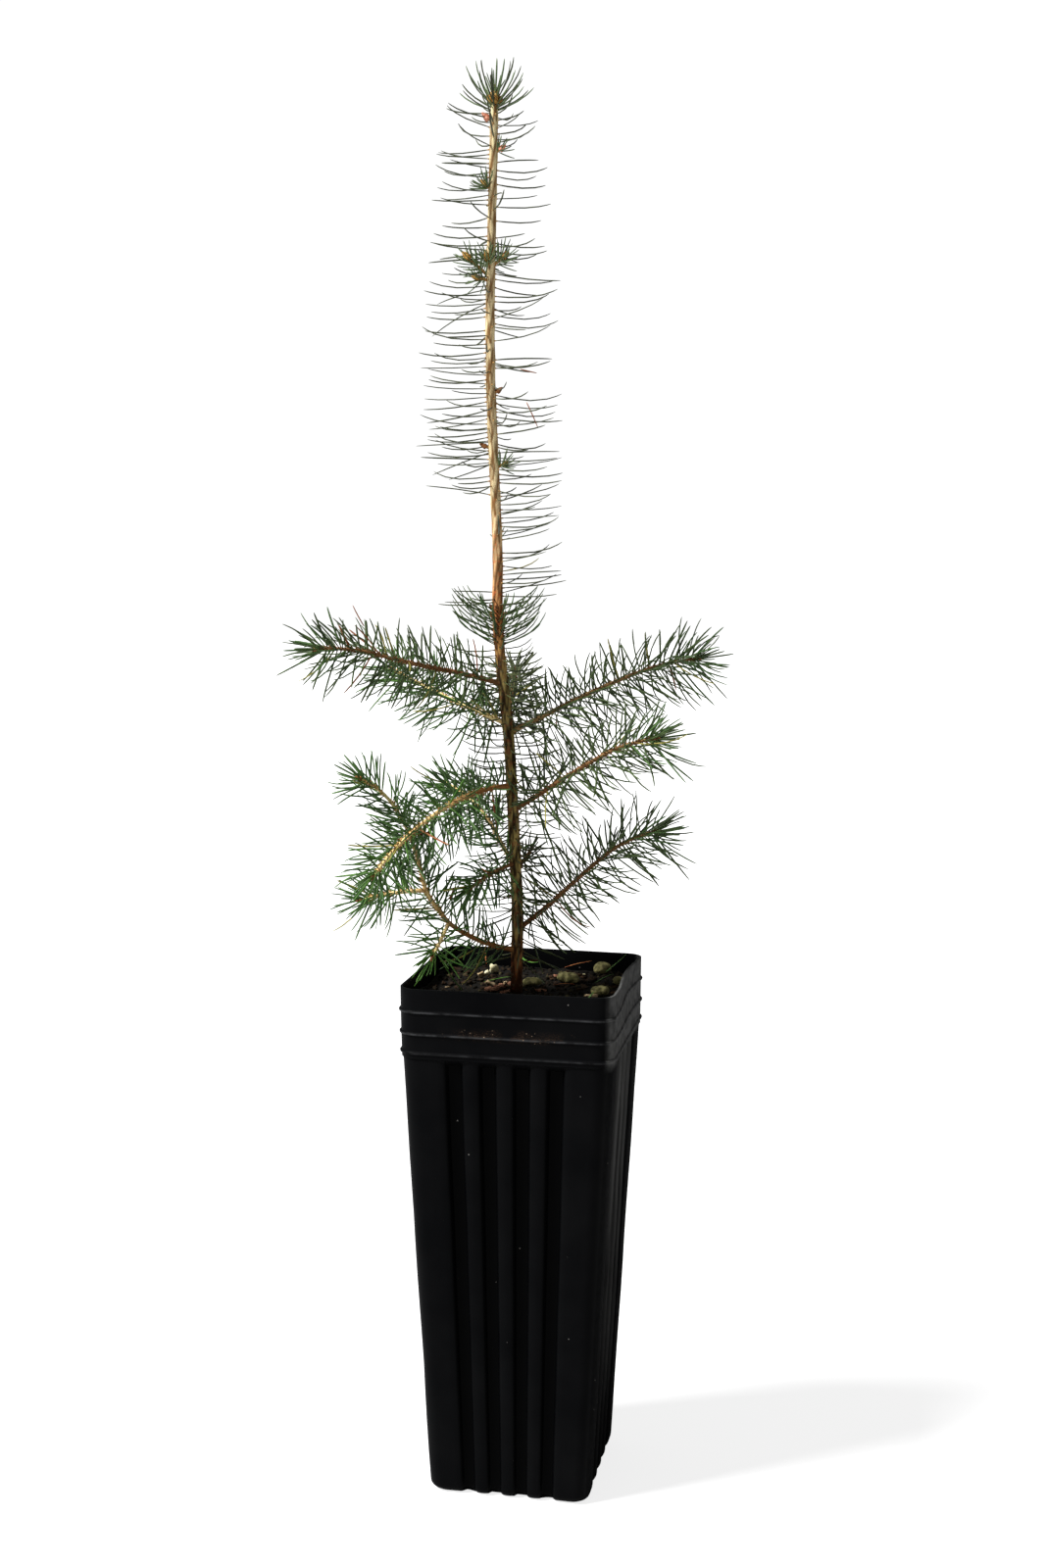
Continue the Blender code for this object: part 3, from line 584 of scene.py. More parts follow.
def press_flutes(pot):
    """Push in the flutes, wave and bow the skin, and keep what the material reads."""
    places = corners_of(pot)
    heights = places[:, 2].copy()
    half = np.where(heights < POT_HEIGHT - COLLAR_HEIGHT, body_half(heights), collar_half(heights))
    depth = FLUTE_DEPTH * (0.72 + 0.28 * smooth_step(heights / 0.16))
    hollow = np.zeros(len(places))
    rib = np.zeros(len(places))
    roof = np.clip((FLUTE_END - heights) / (FLUTE_END - FLUTE_TOP), 0, 1)
    for axis, other in ((0, 1), (1, 0)):
        share = places[:, axis] / half
        away = np.min([abs(share - centre) for centre in FLUTE_CENTRES], axis=0) / FLUTE_PITCH
        bed = 1 - smooth_step((away - 0.32) / 0.32)
        crest = 0.17 * smooth_step((0.97 - away) / 0.5)
        sunk = depth * np.minimum(np.maximum(bed, crest), roof)
        on_side = (abs(places[:, other]) > abs(places[:, axis])) & (abs(share) < 0.66)
        places[:, other] -= np.where(on_side, np.sign(places[:, other]) * sunk, 0)
        hollow = np.where(on_side, np.minimum(bed, roof), hollow)
        if axis == 1:
            on_rib = on_side & (places[:, 0] > 0) & (abs(share) < 0.56)
            rib = np.where(on_rib, (1 - bed) * (roof > 0), 0)
    for i, place in enumerate(places):
        wave = noise.noise(Vector(place) * 22) * 0.00035 + noise.noise(Vector(place) * 60) * 0.00012
        outward = Vector((place[0], place[1], 0)).normalized()
        fixed = min(1.0, heights[i] / 0.02)
        places[i] += np.array(outward) * wave * fixed
    put_corners(pot, bow_collar(places))
    keep_values(pot, "hollow", hollow)
    keep_values(pot, "right_rib", rib)
    beads = [worn_and_lit * np.clip(1 - abs(heights - (POT_HEIGHT - drop - 0.0002)) / 0.00065, 0, 1)
             for drop, worn_and_lit in zip(BEAD_DROPS, BEAD_WEAR_AND_HIGHLIGHT)]
    keep_values(pot, "bead", np.max(beads, axis=0))
    keep_values(pot, "right_side", smooth_step((places[:, 0] / half - 0.93) / 0.05))


def add_modifier(obj, kind, **values):
    """Put a modifier on an object and apply it at once."""
    take(obj)
    modifier = obj.modifiers.new(kind.lower(), kind)
    for key, value in values.items():
        setattr(modifier, key, value)
    bpy.ops.object.modifier_apply(modifier=modifier.name)


def drill_drains(pot):
    """Four drain holes in the floor."""
    start_fresh()
    drills = []
    for x, y in ((1, 1), (-1, 1), (-1, -1), (1, -1)):
        bpy.ops.mesh.primitive_cylinder_add(vertices=32, radius=DRAIN_RADIUS, depth=0.012,
                                            location=(x * DRAIN_PLACE, y * DRAIN_PLACE, 0))
        drills.append(bpy.context.object)
    for drill in drills:
        drill.select_set(True)
    bpy.ops.object.join()
    drill = bpy.context.object
    add_modifier(pot, "BOOLEAN", object=drill, operation="DIFFERENCE", solver="EXACT")
    bpy.data.objects.remove(drill, do_unlink=True)


press_flutes(pot)
add_modifier(pot, "SOLIDIFY", thickness=WALL, offset=-1, use_even_offset=True)
drill_drains(pot)
add_modifier(pot, "BEVEL", width=0.00028, segments=2, limit_method="ANGLE",
             angle_limit=math.radians(62))
take(pot)
bpy.ops.object.shade_smooth_by_angle(angle=math.radians(38))
print("pot:", len(pot.data.polygons), "faces")

# %% [markdown]
# The plastic is black with a little blue in it and a dull shine. The beads are scuffed, and a
# painted highlight makes them paler still. Dust has settled as small specks. The right side's
# collar and ribs are grey with dust and with a painted sheen, while that side is made dull. The
# beds of the flutes are darkened with painted shade. A brown splash of soil has dried along the
# front of the second bead.

# %% Pot: material
SOOT = (0.0020, 0.0021, 0.0025)
HAZE = (0.0060, 0.0061, 0.0064)
SCUFF_AND_HIGHLIGHT = (0.085, 0.086, 0.090)
DUST_AND_SHEEN = (0.130, 0.130, 0.127)
RIB_DUST_AND_SHEEN = (0.105, 0.105, 0.102)
FLUTE_PAINTED_SHADE = (0.0003, 0.0003, 0.0004)
DRIED_SOIL = (0.070, 0.042, 0.026)
SOIL_CRUMB = (0.34, 0.25, 0.17)
GRIT = (0.20, 0.19, 0.175)


def make_pot_plastic():
    material, tree, shader = start_material("pot_plastic", Specular_IOR_Level=0.03)
    x, y, z = object_axes(tree)
    haze = effect(tree, "blotches", scale=34.0, detail=5.0, low=0.36, high=0.72)
    colour = blend_colours(tree, SOOT, HAZE, haze, 0.5)
    # The beads' pale line: scuffs, and a painted highlight
    scuff_and_highlight = effect(tree, "blotches", scale=150.0, detail=6.0, low=0.34, high=0.60)
    colour = blend_colours(tree, colour, SCUFF_AND_HIGHLIGHT, read_attribute(tree, "bead"), scuff_and_highlight)
    # The right collar's grey patches: dust, and a painted sheen
    dust = effect(tree, "blotches", scale=230.0, detail=6.0, low=0.06, high=0.62)
    right_side = read_attribute(tree, "right_side")
    on_collar = ramp(tree, z, 0.214, 0.219, 0.05, 1.0)
    colour = blend_colours(tree, colour, DUST_AND_SHEEN, right_side, dust, on_collar, 0.8)
    # Painted shade: the beds of the flutes are darkened almost to black
    colour = blend_colours(tree, colour, FLUTE_PAINTED_SHADE, read_attribute(tree, "hollow"), 0.95)
    # The right wall's lighter rib streaks, fainter toward the foot: dust, and a painted sheen
    flow = effect(tree, "streaks", scale=200.0, shortening=0.06, low=0.25, high=0.60)
    fading = ramp(tree, z, 0.03, 0.200, 0.04, 1.0)
    colour = blend_colours(tree, colour, RIB_DUST_AND_SHEEN, read_attribute(tree, "right_rib"), fading,
                           flow, 0.8)
    band = times(tree, ramp(tree, z, 0.2262, 0.2290), ramp(tree, z, 0.2335, 0.2296),
                 ramp(tree, x, -0.032, -0.004), ramp(tree, x, 0.036, 0.012),
                 ramp(tree, y, -0.040, -0.048))
    fine = effect(tree, "blotches", scale=1700.0, detail=6.0, low=0.46, high=0.66)
    coarse = effect(tree, "blotches", scale=190.0, detail=3.0, low=0.40, high=0.62)
    colour = blend_colours(tree, colour, DRIED_SOIL, band, fine, coarse, 0.85)
    crumb = effect(tree, "specks", scale=760.0, size=0.22, share=0.16)
    colour = blend_colours(tree, colour, SOIL_CRUMB, band, crumb, 0.8)
    grit = effect(tree, "specks", scale=170.0, size=0.055, share=0.12)
    colour = blend_colours(tree, colour, GRIT, grit, 0.8)
    tree.links.new(colour, shader.inputs["Base Color"])
    rough = effect(tree, "blotches", scale=90.0, detail=6.0, low=0.30, high=0.75)
    rough = combine(tree, "MAXIMUM", ramp(tree, rough, 0.0, 1.0, 0.36, 0.50), right_side)
    tree.links.new(rough, shader.inputs["Roughness"])
    height = effect(tree, "streaks", scale=420.0, shortening=0.12, low=0.2, high=0.8)
    add_bump(tree, shader, height, 0.10, 0.0004)
    return material


pot.data.materials.append(make_pot_plastic())
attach(pot, "root")
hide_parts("pot")

# %% [markdown]
# ## The fill
#
# Nursery mix is composted bark: a dark crumbly bed with chips in it. The bed is one grid, pulled
# into the pot's rounded square, with noise for its lumps, and its sides go down inside the wall.
# Loose crumbs and chips would be lost in a bump map, so a few are modelled and many copies of them
# are strewn over the bed.

# %% Fill: the bed
SOIL_TOP = 0.2410
BED_CORNER = 0.0072
BED_STEPS = 96
BED_GAP = 0.0003           # between the bed and the wall
LUMPS = ((60, 0.3, 0.0014), (170, 0.7, 0.0008), (520, 0.1, 0.00035))   # scale, layer and height
TRUNK_FOOT = Vector((-0.0026, -0.0091))
bed_half = collar_half(SOIL_TOP) - WALL - BED_GAP


def lump(x, y):
    """How far the bed stands over or under its level at this place."""
    return sum(noise.noise(Vector((x, y, layer)) * scale) * height
               for scale, layer, height in LUMPS)


def soil_height(x, y):
    """The height of the bed, which rises a little round the stem."""
    mound = 0.0006 * math.exp(-((x - TRUNK_FOOT.x) ** 2 + (y - TRUNK_FOOT.y) ** 2) / 0.012 ** 2)
    return SOIL_TOP - 0.0007 + lump(x, y) + mound


def lay_bed():
    """A rounded square with lumps on top, drawn in step by step toward the pot's floor."""
    start_fresh()
    bpy.ops.mesh.primitive_grid_add(x_subdivisions=BED_STEPS, y_subdivisions=BED_STEPS,
                                    size=2 * bed_half)
    bed = rename(bpy.context.object, "soil_bed")
    places = corners_of(bed)
    inside = bed_half - BED_CORNER
    for place in places:
        over = Vector((max(0.0, abs(place[0]) - inside), max(0.0, abs(place[1]) - inside)))
        if over.x > 0 and over.y > 0:
            reach = max(over.x, over.y) / over.length
            place[0] = math.copysign(inside + over.x * reach, place[0])
            place[1] = math.copysign(inside + over.y * reach, place[1])
        place[2] = soil_height(place[0], place[1])
    put_corners(bed, bow_collar(places))
    edit(bed, "EDGE")
    select_where(bed, "edges", lambda edge: edge.is_boundary)
    # heights and half widths, which stay inside the wall and its flutes
    levels = ((0.2340, bed_half - 0.0022), (0.2100, body_half(0.210) - 0.0054),
              (0.0060, body_half(0.006) - 0.0054), (0.0023, body_half(0.0023) - 0.0100))
    wide = bed_half
    for height, half in levels:
        bpy.ops.mesh.extrude_edges_move()
        mesh = bmesh.from_edit_mesh(bed.data)
        for vert in mesh.verts:
            if vert.select:
                vert.co = (vert.co.x * half / wide, vert.co.y * half / wide, height)
        bmesh.update_edit_mesh(bed.data)
        wide = half
    bpy.ops.mesh.edge_face_add()
    bpy.ops.mesh.select_all(action="SELECT")
    bpy.ops.mesh.normals_make_consistent(inside=False)
    close_edit()
    bpy.ops.object.shade_smooth_by_angle(angle=math.radians(60))
    return bed


def make_soil():
    material, tree, shader = start_material("dark_bark_mix", Roughness=0.95,
                                            Specular_IOR_Level=0.2)
    light = effect(tree, "blotches", scale=260.0, detail=8.0, low=0.48, high=0.68)
    colour = blend_colours(tree, (0.0026, 0.0020, 0.0010), (0.013, 0.0082, 0.0036), light)
    fibre = effect(tree, "specks", scale=560.0, size=0.16, share=0.10)
    colour = blend_colours(tree, colour, (0.070, 0.046, 0.024), fibre, 0.7)
    tree.links.new(colour, shader.inputs["Base Color"])
    add_bump(tree, shader, effect(tree, "unevenness", scale=900.0, detail=8.0), 0.8, 0.0008)
    return material


bed = lay_bed()
bed.data.materials.append(make_soil())
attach(bed, "root")
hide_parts("soil_fill")
print("bed:", len(bed.data.polygons), "faces")

# %% [markdown]
# A crumb starts as a ball with few faces, a chip as a flat block. Both are roughened by moving
# their corners at random, with a fixed seed. Each copy then gets its own size and turn, and is
# seated on the bed.

# %% Fill: model a crumb and a chip
def model_crumb(flat, seed):
    start_fresh()
    bpy.ops.mesh.primitive_ico_sphere_add(subdivisions=2, radius=0.5)
    crumb = rename(bpy.context.object, f"crumb_{seed}")
    open_whole(crumb)
    bpy.ops.transform.resize(value=(1.0, 0.8, flat), center_override=(0, 0, 0))
    bpy.ops.transform.vertex_random(offset=0.11, uniform=0.8, normal=0.4, seed=seed)
    close_edit()
    return crumb


def model_chip(wide, seed):
    start_fresh()
    bpy.ops.mesh.primitive_cube_add(size=1)
    chip = rename(bpy.context.object, f"chip_{seed}")
    open_whole(chip)
    bpy.ops.mesh.subdivide(number_cuts=2)
    bpy.ops.transform.resize(value=(1.0, wide, 0.20), center_override=(0, 0, 0))
    bpy.ops.transform.vertex_random(offset=0.055, uniform=0.7, normal=0.3, seed=seed)
    close_edit()
    return chip


crumbs = [model_crumb(0.75, 1), model_crumb(0.6, 2), model_crumb(0.85, 3)]
chips = [model_chip(0.45, 4), model_chip(0.62, 5), model_chip(0.30, 6)]
print("faces in a crumb:", len(crumbs[0].data.polygons))

# %% Copies of models, joined in one mesh
def build_mesh(name, places, loops, sizes, material):
    """One object from plain arrays: corners, the corners of each face in turn, and face sizes."""
    mesh = bpy.data.meshes.new(name)
    mesh.vertices.add(len(places))
    mesh.vertices.foreach_set("co", np.asarray(places, float).ravel())
    mesh.loops.add(len(loops))
    mesh.loops.foreach_set("vertex_index", np.asarray(loops, np.int32))
    mesh.polygons.add(len(sizes))
    starts = np.concatenate(([0], np.cumsum(sizes)[:-1])).astype(np.int32)
    mesh.polygons.foreach_set("loop_start", starts)
    mesh.update(calc_edges=True)
    mesh.materials.append(material)
    obj = bpy.data.objects.new(name, mesh)
    bpy.context.scene.collection.objects.link(obj)
    return obj


def repeat_faces(model, copies):
    """The faces of that many copies of a model, one after the other."""
    loops = np.array([corner for face in model.data.polygons for corner in face.vertices])
    sizes = np.array([len(face.vertices) for face in model.data.polygons])
    offsets = np.arange(copies) * len(model.data.vertices)
    return (loops[None, :] + offsets[:, None]).ravel(), np.tile(sizes, copies)


def join_copies(name, groups, material):
    """One object from groups, each of which is a model with a list of its copies' corners."""
    places, loops, sizes = [], [], []
    count = 0
    for model, copies in groups:
        places += copies
        more_loops, more_sizes = repeat_faces(model, len(copies))
        loops.append(more_loops + count)
        sizes.append(more_sizes)
        count += len(copies) * len(model.data.vertices)
    return build_mesh(name, np.concatenate(places), np.concatenate(loops),
                      np.concatenate(sizes), material)


# %% Fill: strew crumbs and chips
def strew(name, models, stones, material):
    """Copies of a few models: each stone is (x, y, z, length, turn about z, tilt, roll)."""
    groups = []
    for which, model in enumerate(models):
        shape = corners_of(model)
        copies = []
        for stone in stones[which::len(models)]:
            turn = Euler((stone[6], stone[5], stone[4])).to_matrix()
            copies.append((shape * stone[3]) @ np.array(turn).T + np.array(stone[:3]))
        groups.append((model, copies))
    return join_copies(name, groups, material)


OFF_WALL = 0.0018
OFF_CORNER = 0.004
OFF_STEM = 0.0045


def random_stones(rng, count, small, large, lift, tilt):
    """Places on the bed, seated by their own size, and kept off the wall and the stem."""
    stones = []
    limit = bed_half - OFF_WALL
    while len(stones) < count:
        x, y = rng.uniform(-limit, limit), rng.uniform(-limit, limit)
        if abs(x) > limit - OFF_CORNER and abs(y) > limit - OFF_CORNER:
            continue
        if (Vector((x, y)) - TRUNK_FOOT).length < OFF_STEM:
            continue
        size = small + (large - small) * rng.random() ** 2.2
        x = max(-limit + size / 2, min(limit - size / 2, x))
        y = max(-limit + size / 2, min(limit - size / 2, y))
        x = bow_collar(np.array(((x, y, SOIL_TOP),)))[0][0]
        stones.append((x, y, soil_height(x, y) + size * lift, size, rng.uniform(0, math.tau),
                       rng.uniform(-tilt, tilt), rng.uniform(-tilt, tilt)))
    return stones


def make_grainy(name, dark, light, scale, roughness=0.9):
    """A matt material of two tones with grain and fine bumps."""
    material, tree, shader = start_material(name, Roughness=roughness, Specular_IOR_Level=0.16)
    tone = effect(tree, "blotches", scale=scale, detail=6.0, low=0.38, high=0.66)
    colour = blend_colours(tree, dark, light, tone)
    grain = effect(tree, "streaks", scale=1500.0, shortening=0.3, low=0.50, high=0.75)
    colour = blend_colours(tree, colour, tuple(c * 0.55 for c in dark), grain, 0.6)
    tree.links.new(colour, shader.inputs["Base Color"])
    add_bump(tree, shader, effect(tree, "unevenness", scale=1300.0, detail=6.0), 0.6, 0.0003)
    return material


rng = random.Random(4)
strewn = [
    strew("soil_crumbs", crumbs, random_stones(rng, 900, 0.0006, 0.0032, 0.10, 0.6),
          make_grainy("crumb_dark", (0.0030, 0.0021, 0.0010), (0.0145, 0.0095, 0.0042), 300.0)),
    strew("soil_crumbs_olive", crumbs, random_stones(rng, 90, 0.0010, 0.0030, 0.14, 0.6),
          make_grainy("crumb_olive", (0.020, 0.018, 0.0075), (0.085, 0.070, 0.032), 400.0)),
    strew("soil_chips", chips, random_stones(rng, 170, 0.0018, 0.0064, 0.08, 0.35),
          make_grainy("chip_brown", (0.010, 0.0060, 0.0030), (0.052, 0.027, 0.012), 240.0)),
]

# %% [markdown]
# Some chips are fresher: red-brown or pale, mostly to the left of the stem. Behind them lies a
# grain that is almost white. They are placed one by one.

# %% Fill: the fresh chips
def on_bed(x, y, size, turn, tilt=0.1, lift=0.16):
    """A chip at x and y in millimetres, lying on the bed."""
    x, y = x / 1000, y / 1000
    return (x, y, soil_height(x, y) + size * lift, size, math.radians(turn), tilt, -tilt)


# x, y, size and turn, and where they differ from the usual the tilt and the lift
RED_CHIPS = ((-11.8, -2.8, 0.0062, 20), (-9.8, 8.5, 0.0056, 130, 0.3), (-12.8, -9.5, 0.0070, 75),
             (-7.4, -12.5, 0.0048, 10, -0.2), (-15.6, -6.0, 0.0052, 160),
             (-6.8, 3.6, 0.0045, 55), (-14.2, 10.0, 0.0043, 95), (8.2, -3.0, 0.0050, 40),
             (11.4, 31.0, 0.0060, 30, 0.2))
PALE_CHIPS = ((-17.8, 4.6, 0.0056, 25, 0.5, 0.34), (-25.5, 18.0, 0.0044, 80, 0.6, 0.34),
              (-11.5, 8.0, 0.0048, 110, 0.3, 0.3), (34.0, -10.5, 0.0062, 35, 0.1, 0.3),
              (30.0, -22.0, 0.0022, 10), (-33.0, -20.0, 0.0024, 140), (-38.0, -2.0, 0.0026, 60))
WHITE_CHIPS = ((-22.6, 33.0, 0.0054, 60, 1.0, 0.44), (-24.6, 27.0, 0.0036, 100, 0.8, 0.34),
               (4.0, -30.0, 0.0018, 20), (22.0, 40.0, 0.0016, 20))
strewn += [
    strew("bark_chips_red", chips, [on_bed(*chip) for chip in RED_CHIPS],
          make_grainy("chip_red", (0.16, 0.060, 0.032), (0.42, 0.21, 0.13), 420.0)),
    strew("bark_chips_pale", chips, [on_bed(*chip) for chip in PALE_CHIPS],
          make_grainy("chip_pale", (0.42, 0.29, 0.15), (0.66, 0.50, 0.30), 420.0)),
    strew("bark_chips_white", crumbs, [on_bed(*chip) for chip in WHITE_CHIPS],
          make_grainy("chip_white", (0.62, 0.55, 0.30), (0.88, 0.83, 0.58), 380.0)),
]
for piece in strewn:
    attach(piece, "root")
for model in crumbs + chips:
    bpy.data.objects.remove(model, do_unlink=True)
print("strewn faces:", sum(len(piece.data.polygons) for piece in strewn))

# %% [markdown]
# ## Pebbles
#
# Five rounded pebbles lie on the bed, dusty yellow-green with dark patches of moss, and one of
# them has two lobes. Each is a ball, dented, pressed to its own length, width and height, and
# flattened underneath.

# %% Pebbles
PEBBLES = {
    # name: x, y, length, width, height, turn, waist
    "pebble_back": (0.0310, 0.0420, 0.0092, 0.0078, 0.0066, 25, 0.0),
    "pebble_middle": (0.0180, 0.0180, 0.0118, 0.0074, 0.0060, -20, 0.30),
    "pebble_left": (0.0020, 0.0080, 0.0092, 0.0056, 0.0046, 10, 0.06),
    "pebble_corner": (0.0375, -0.0060, 0.0098, 0.0072, 0.0054, 40, 0.26),
    "pebble_side": (0.0425, 0.0190, 0.0070, 0.0052, 0.0044, -60, 0.0),
}


def make_pebble(name, x, y, length, width, height, turn, waist):
    start_fresh()
    bpy.ops.mesh.primitive_ico_sphere_add(subdivisions=5, radius=0.5)
    pebble = rename(bpy.context.object, name + "_stone")
    places = corners_of(pebble)
    for place in places:
        seed = Vector(place) * 2.2 + Vector((x, y, 0)) * 900
        pinch = 1 - waist * math.exp(-((place[0] + 0.06) / 0.13) ** 2)
        dent = (1 + 0.10 * noise.noise(seed) + 0.035 * noise.noise(seed * 3.1)
                + 0.012 * noise.noise(seed * 9))
        place *= dent
        place[1] *= pinch
        place[2] = max(place[2] * (0.5 + 0.5 * pinch), -0.34)
    places = places * np.array((length, width, height))
    places[:, 2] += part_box(name)[0].z - places[:, 2].min()
    angle = math.radians(turn)
    spin = np.array(((math.cos(angle), -math.sin(angle)), (math.sin(angle), math.cos(angle))))
    places[:, :2] = places[:, :2] @ spin.T + np.array((x, y))
    put_corners(pebble, places)
    take(pebble)
    bpy.ops.object.shade_smooth()
    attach(pebble, "root")
    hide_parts(name)
    return pebble


def make_stone():
    material, tree, shader = start_material("pebble_moss", Roughness=0.8, Specular_IOR_Level=0.3)
    tone = effect(tree, "blotches", scale=330.0, detail=7.0, low=0.36, high=0.66)
    colour = blend_colours(tree, (0.095, 0.090, 0.024), (0.38, 0.34, 0.140), tone)
    dirt = effect(tree, "blotches", scale=420.0, detail=6.0, low=0.50, high=0.62)
    colour = blend_colours(tree, colour, (0.040, 0.031, 0.012), dirt, 0.65)
    dust = effect(tree, "specks", scale=1400.0, size=0.28, share=0.25)
    colour = blend_colours(tree, colour, (0.55, 0.53, 0.34), dust, 0.35)
    tree.links.new(colour, shader.inputs["Base Color"])
    add_bump(tree, shader, effect(tree, "unevenness", scale=1500.0, detail=8.0), 0.5, 0.0003)
    return material


stone = make_stone()
for name, facts in PEBBLES.items():
    make_pebble(name, *facts).data.materials.append(stone)
print("pebbles:", len(PEBBLES))

# %% [markdown]
# ## The lines that the plant grows along
#
# Everything woody follows one rule: a limb leaves the stem at a height and an azimuth, and its
# climb above the level changes from step to step. The source of the solids has the same rule and
# the same numbers. Here the steps are finer, so that the bark bends without corners.

# %% Lines of growth
TRUNK_TIP = 0.6580
SIDEWAYS = math.radians(11.3)
TRUNK_LOW = 0.2413
TRUNK_LEAN = ((TRUNK_LOW, 0.0), (0.277, 0.0008), (0.322, -0.0014), (0.360, -0.0034),
              (0.400, -0.0078), (0.420, -0.0093), (0.450, -0.0092), (0.524, -0.0126),
              (0.557, -0.0131), (0.658, -0.0111))
TRUNK_RADIUS = ((TRUNK_LOW, 0.0032), (0.2480, 0.00285), (0.345, 0.0027), (0.430, 0.0024),
                (0.560, 0.00212), (0.648, 0.00175), (0.654, 0.0016), (0.658, 0.0004))
STEM_STEP = 0.0009         # between the rings of the stem
STEP = 0.0007              # between the rings of a limb


def read_profile(profile, place):
    """The value at a place in a list of places and values."""
    return np.interp(place, [point[0] for point in profile], [point[1] for point in profile])


def trunk_line(heights):
    """The stem's axis at these heights, with its bends eased."""
    heights = np.asarray(heights, float)
    lean = np.mean([read_profile(TRUNK_LEAN, heights + shift)
                    for shift in (-0.007, 0.0, 0.007)], axis=0)
    return np.stack((TRUNK_FOOT.x + lean * math.cos(SIDEWAYS),
                     TRUNK_FOOT.y + lean * math.sin(SIDEWAYS), heights), axis=1)


def on_axis(height):
    """One place on the stem's axis."""
    return trunk_line([height])[0]


def grow_line(start, azimuth, climbs, length):
    """A line from the start whose climb above the level follows the list of climbs."""
    count = max(12, round(length / STEP))
    share = (np.arange(count) + 0.5) / count * (len(climbs) - 1)
    climb = np.radians(np.interp(share, range(len(climbs)), climbs))
    heading = np.stack((np.cos(climb) * math.cos(math.radians(azimuth)),
                        np.cos(climb) * math.sin(math.radians(azimuth)), np.sin(climb)), axis=1)
    steps = np.concatenate((np.zeros((1, 3)), np.cumsum(heading, axis=0))) * (length / count)
    return np.asarray(start) + steps


def frames_along(points):
    """At each point of a line: the way it runs, and two directions across it that don't twist."""
    tangents = np.gradient(points, axis=0)
    tangents /= np.linalg.norm(tangents, axis=1)[:, None]
    across = np.empty_like(points)
    side = np.cross(tangents[0], (0, 0, 1))
    if np.linalg.norm(side) < 1e-3:
        side = np.array((1.0, 0.0, 0.0))
    for i, tangent in enumerate(tangents):
        side = side - tangent * side.dot(tangent)
        side /= np.linalg.norm(side)
        across[i] = side
    return tangents, across, np.cross(across, tangents)


def lengths_along(points):
    """How far along a line each of its points is."""
    return np.concatenate(([0.0], np.cumsum(np.linalg.norm(np.diff(points, axis=0), axis=1))))


def level_ray(turn):
    """A level direction, turned from the X axis."""
    return np.array((math.cos(turn), math.sin(turn), 0.0))


stem_heights = np.arange(TRUNK_LOW, TRUNK_TIP, STEM_STEP)
stem_line = trunk_line(stem_heights)
stem_radii = read_profile(TRUNK_RADIUS, stem_heights)
print("stem rings:", len(stem_line))

# %% [markdown]
# The boughs are listed once more with what the bark and the needles need: how far the needles
# stand off the bark at the foot, the middle and the tip, how long they are, and which tint they
# have. The low bough on the left arches: it runs out, forks, rises, and bears three twigs.

# %% The boughs
BOUGHS = {
    # name: height, azimuth, length, climbs, radius, leans, needle length, tint
    "left_upper": (0.389, 209, 0.0915, (17, 11, 16, -4), 0.00125, (76, 68, 50), 0.0222, "dark"),
    "back_left": (0.370, 150, 0.080, (16, 14, 18, 18), 0.00120, (74, 66, 52), 0.0225, "green"),
    "back": (0.368, 98, 0.070, (24, 26, 18, 10), 0.00115, (76, 68, 50), 0.0182, "stem"),
    "right_upper": (0.366, 31, 0.1035, (23, 24, 19, 4), 0.00130, (88, 78, 50), 0.0240, "dark"),
    "front_left": (0.341, 228, 0.088, (2, -18, -33, -48), 0.00125, (78, 70, 50), 0.0230, "green"),
    "right_mid": (0.329, -12, 0.081, (32, 34, 29, 8), 0.00130, (90, 80, 50), 0.0245, "dark"),
    "front_short": (0.304, 236, 0.033, (-8, -16, -28), 0.00100, (76, 64, 48), 0.0165, "green"),
    "back_low": (0.302, 150, 0.061, (46, 54, 30, 14), 0.00115, (78, 68, 50), 0.0210, "green"),
    "back_short": (0.300, 84, 0.027, (12, 16, 20), 0.00100, (76, 64, 48), 0.0110, "stem"),
    "right_low": (0.272, 20, 0.083, (34, 43, 38, 8), 0.00130, (88, 80, 48), 0.0240, "dark"),
}
ARCH_HEIGHT = 0.262
ARCH_AZIMUTH = 208
ARCH_FIRST = (0.0370, (8, 24, 38))
ARCH_SECOND = (0.0200, (50, 60))
ARCH_RADIUS = 0.00108
TWIGS = {
    # name: azimuth, length, climbs, radius, leans, needle length, tint
    "left_low_rise": (211, 0.065, (78, 72, 56, 24), 0.00105, (74, 66, 46), 0.0195, "green"),
    "left_low_side": (204, 0.031, (0, -6, -14), 0.00090, (72, 62, 44), 0.0190, "green"),
    "left_low_hang": (254, 0.0205, (-36, -42, -42), 0.00080, (84, 76, 58), 0.0205, "fresh"),
}
TWIG_TIP = 0.00062
FOOT_SWELL = 1.6
TWIG_SWELL = 1.3
BARK_SHARE = 0.85          # of the radius, before its ridges


class Shoot:
    """A woody line with its radii, and what grows on it."""

    def __init__(self, name, points, radii, leans=None, reach=0.0, tint=None):
        self.name, self.points, self.radii = name, points, radii
        self.leans, self.reach, self.tint = leans, reach, tint
        self.lengths = lengths_along(points)
        self.tangents, self.across, self.over = frames_along(points)


def taper(first, last, points, swell=1.0):
    """Radii from first to last along a line, swollen over its first three millimetres."""
    travelled = lengths_along(points)
    radii = first + (last - first) * (travelled / travelled[-1]) ** 1.15
    return radii * (1 + (swell - 1) * np.exp(-(travelled / 0.0032) ** 2))


shoots = []
for name, (height, azimuth, length, climbs, radius, leans, reach, tint) in BOUGHS.items():
    line = grow_line(on_axis(height), azimuth, climbs, length)
    radii = taper(BARK_SHARE * radius, TWIG_TIP, line, FOOT_SWELL)
    shoots.append(Shoot(name, line, radii, leans, reach, tint))

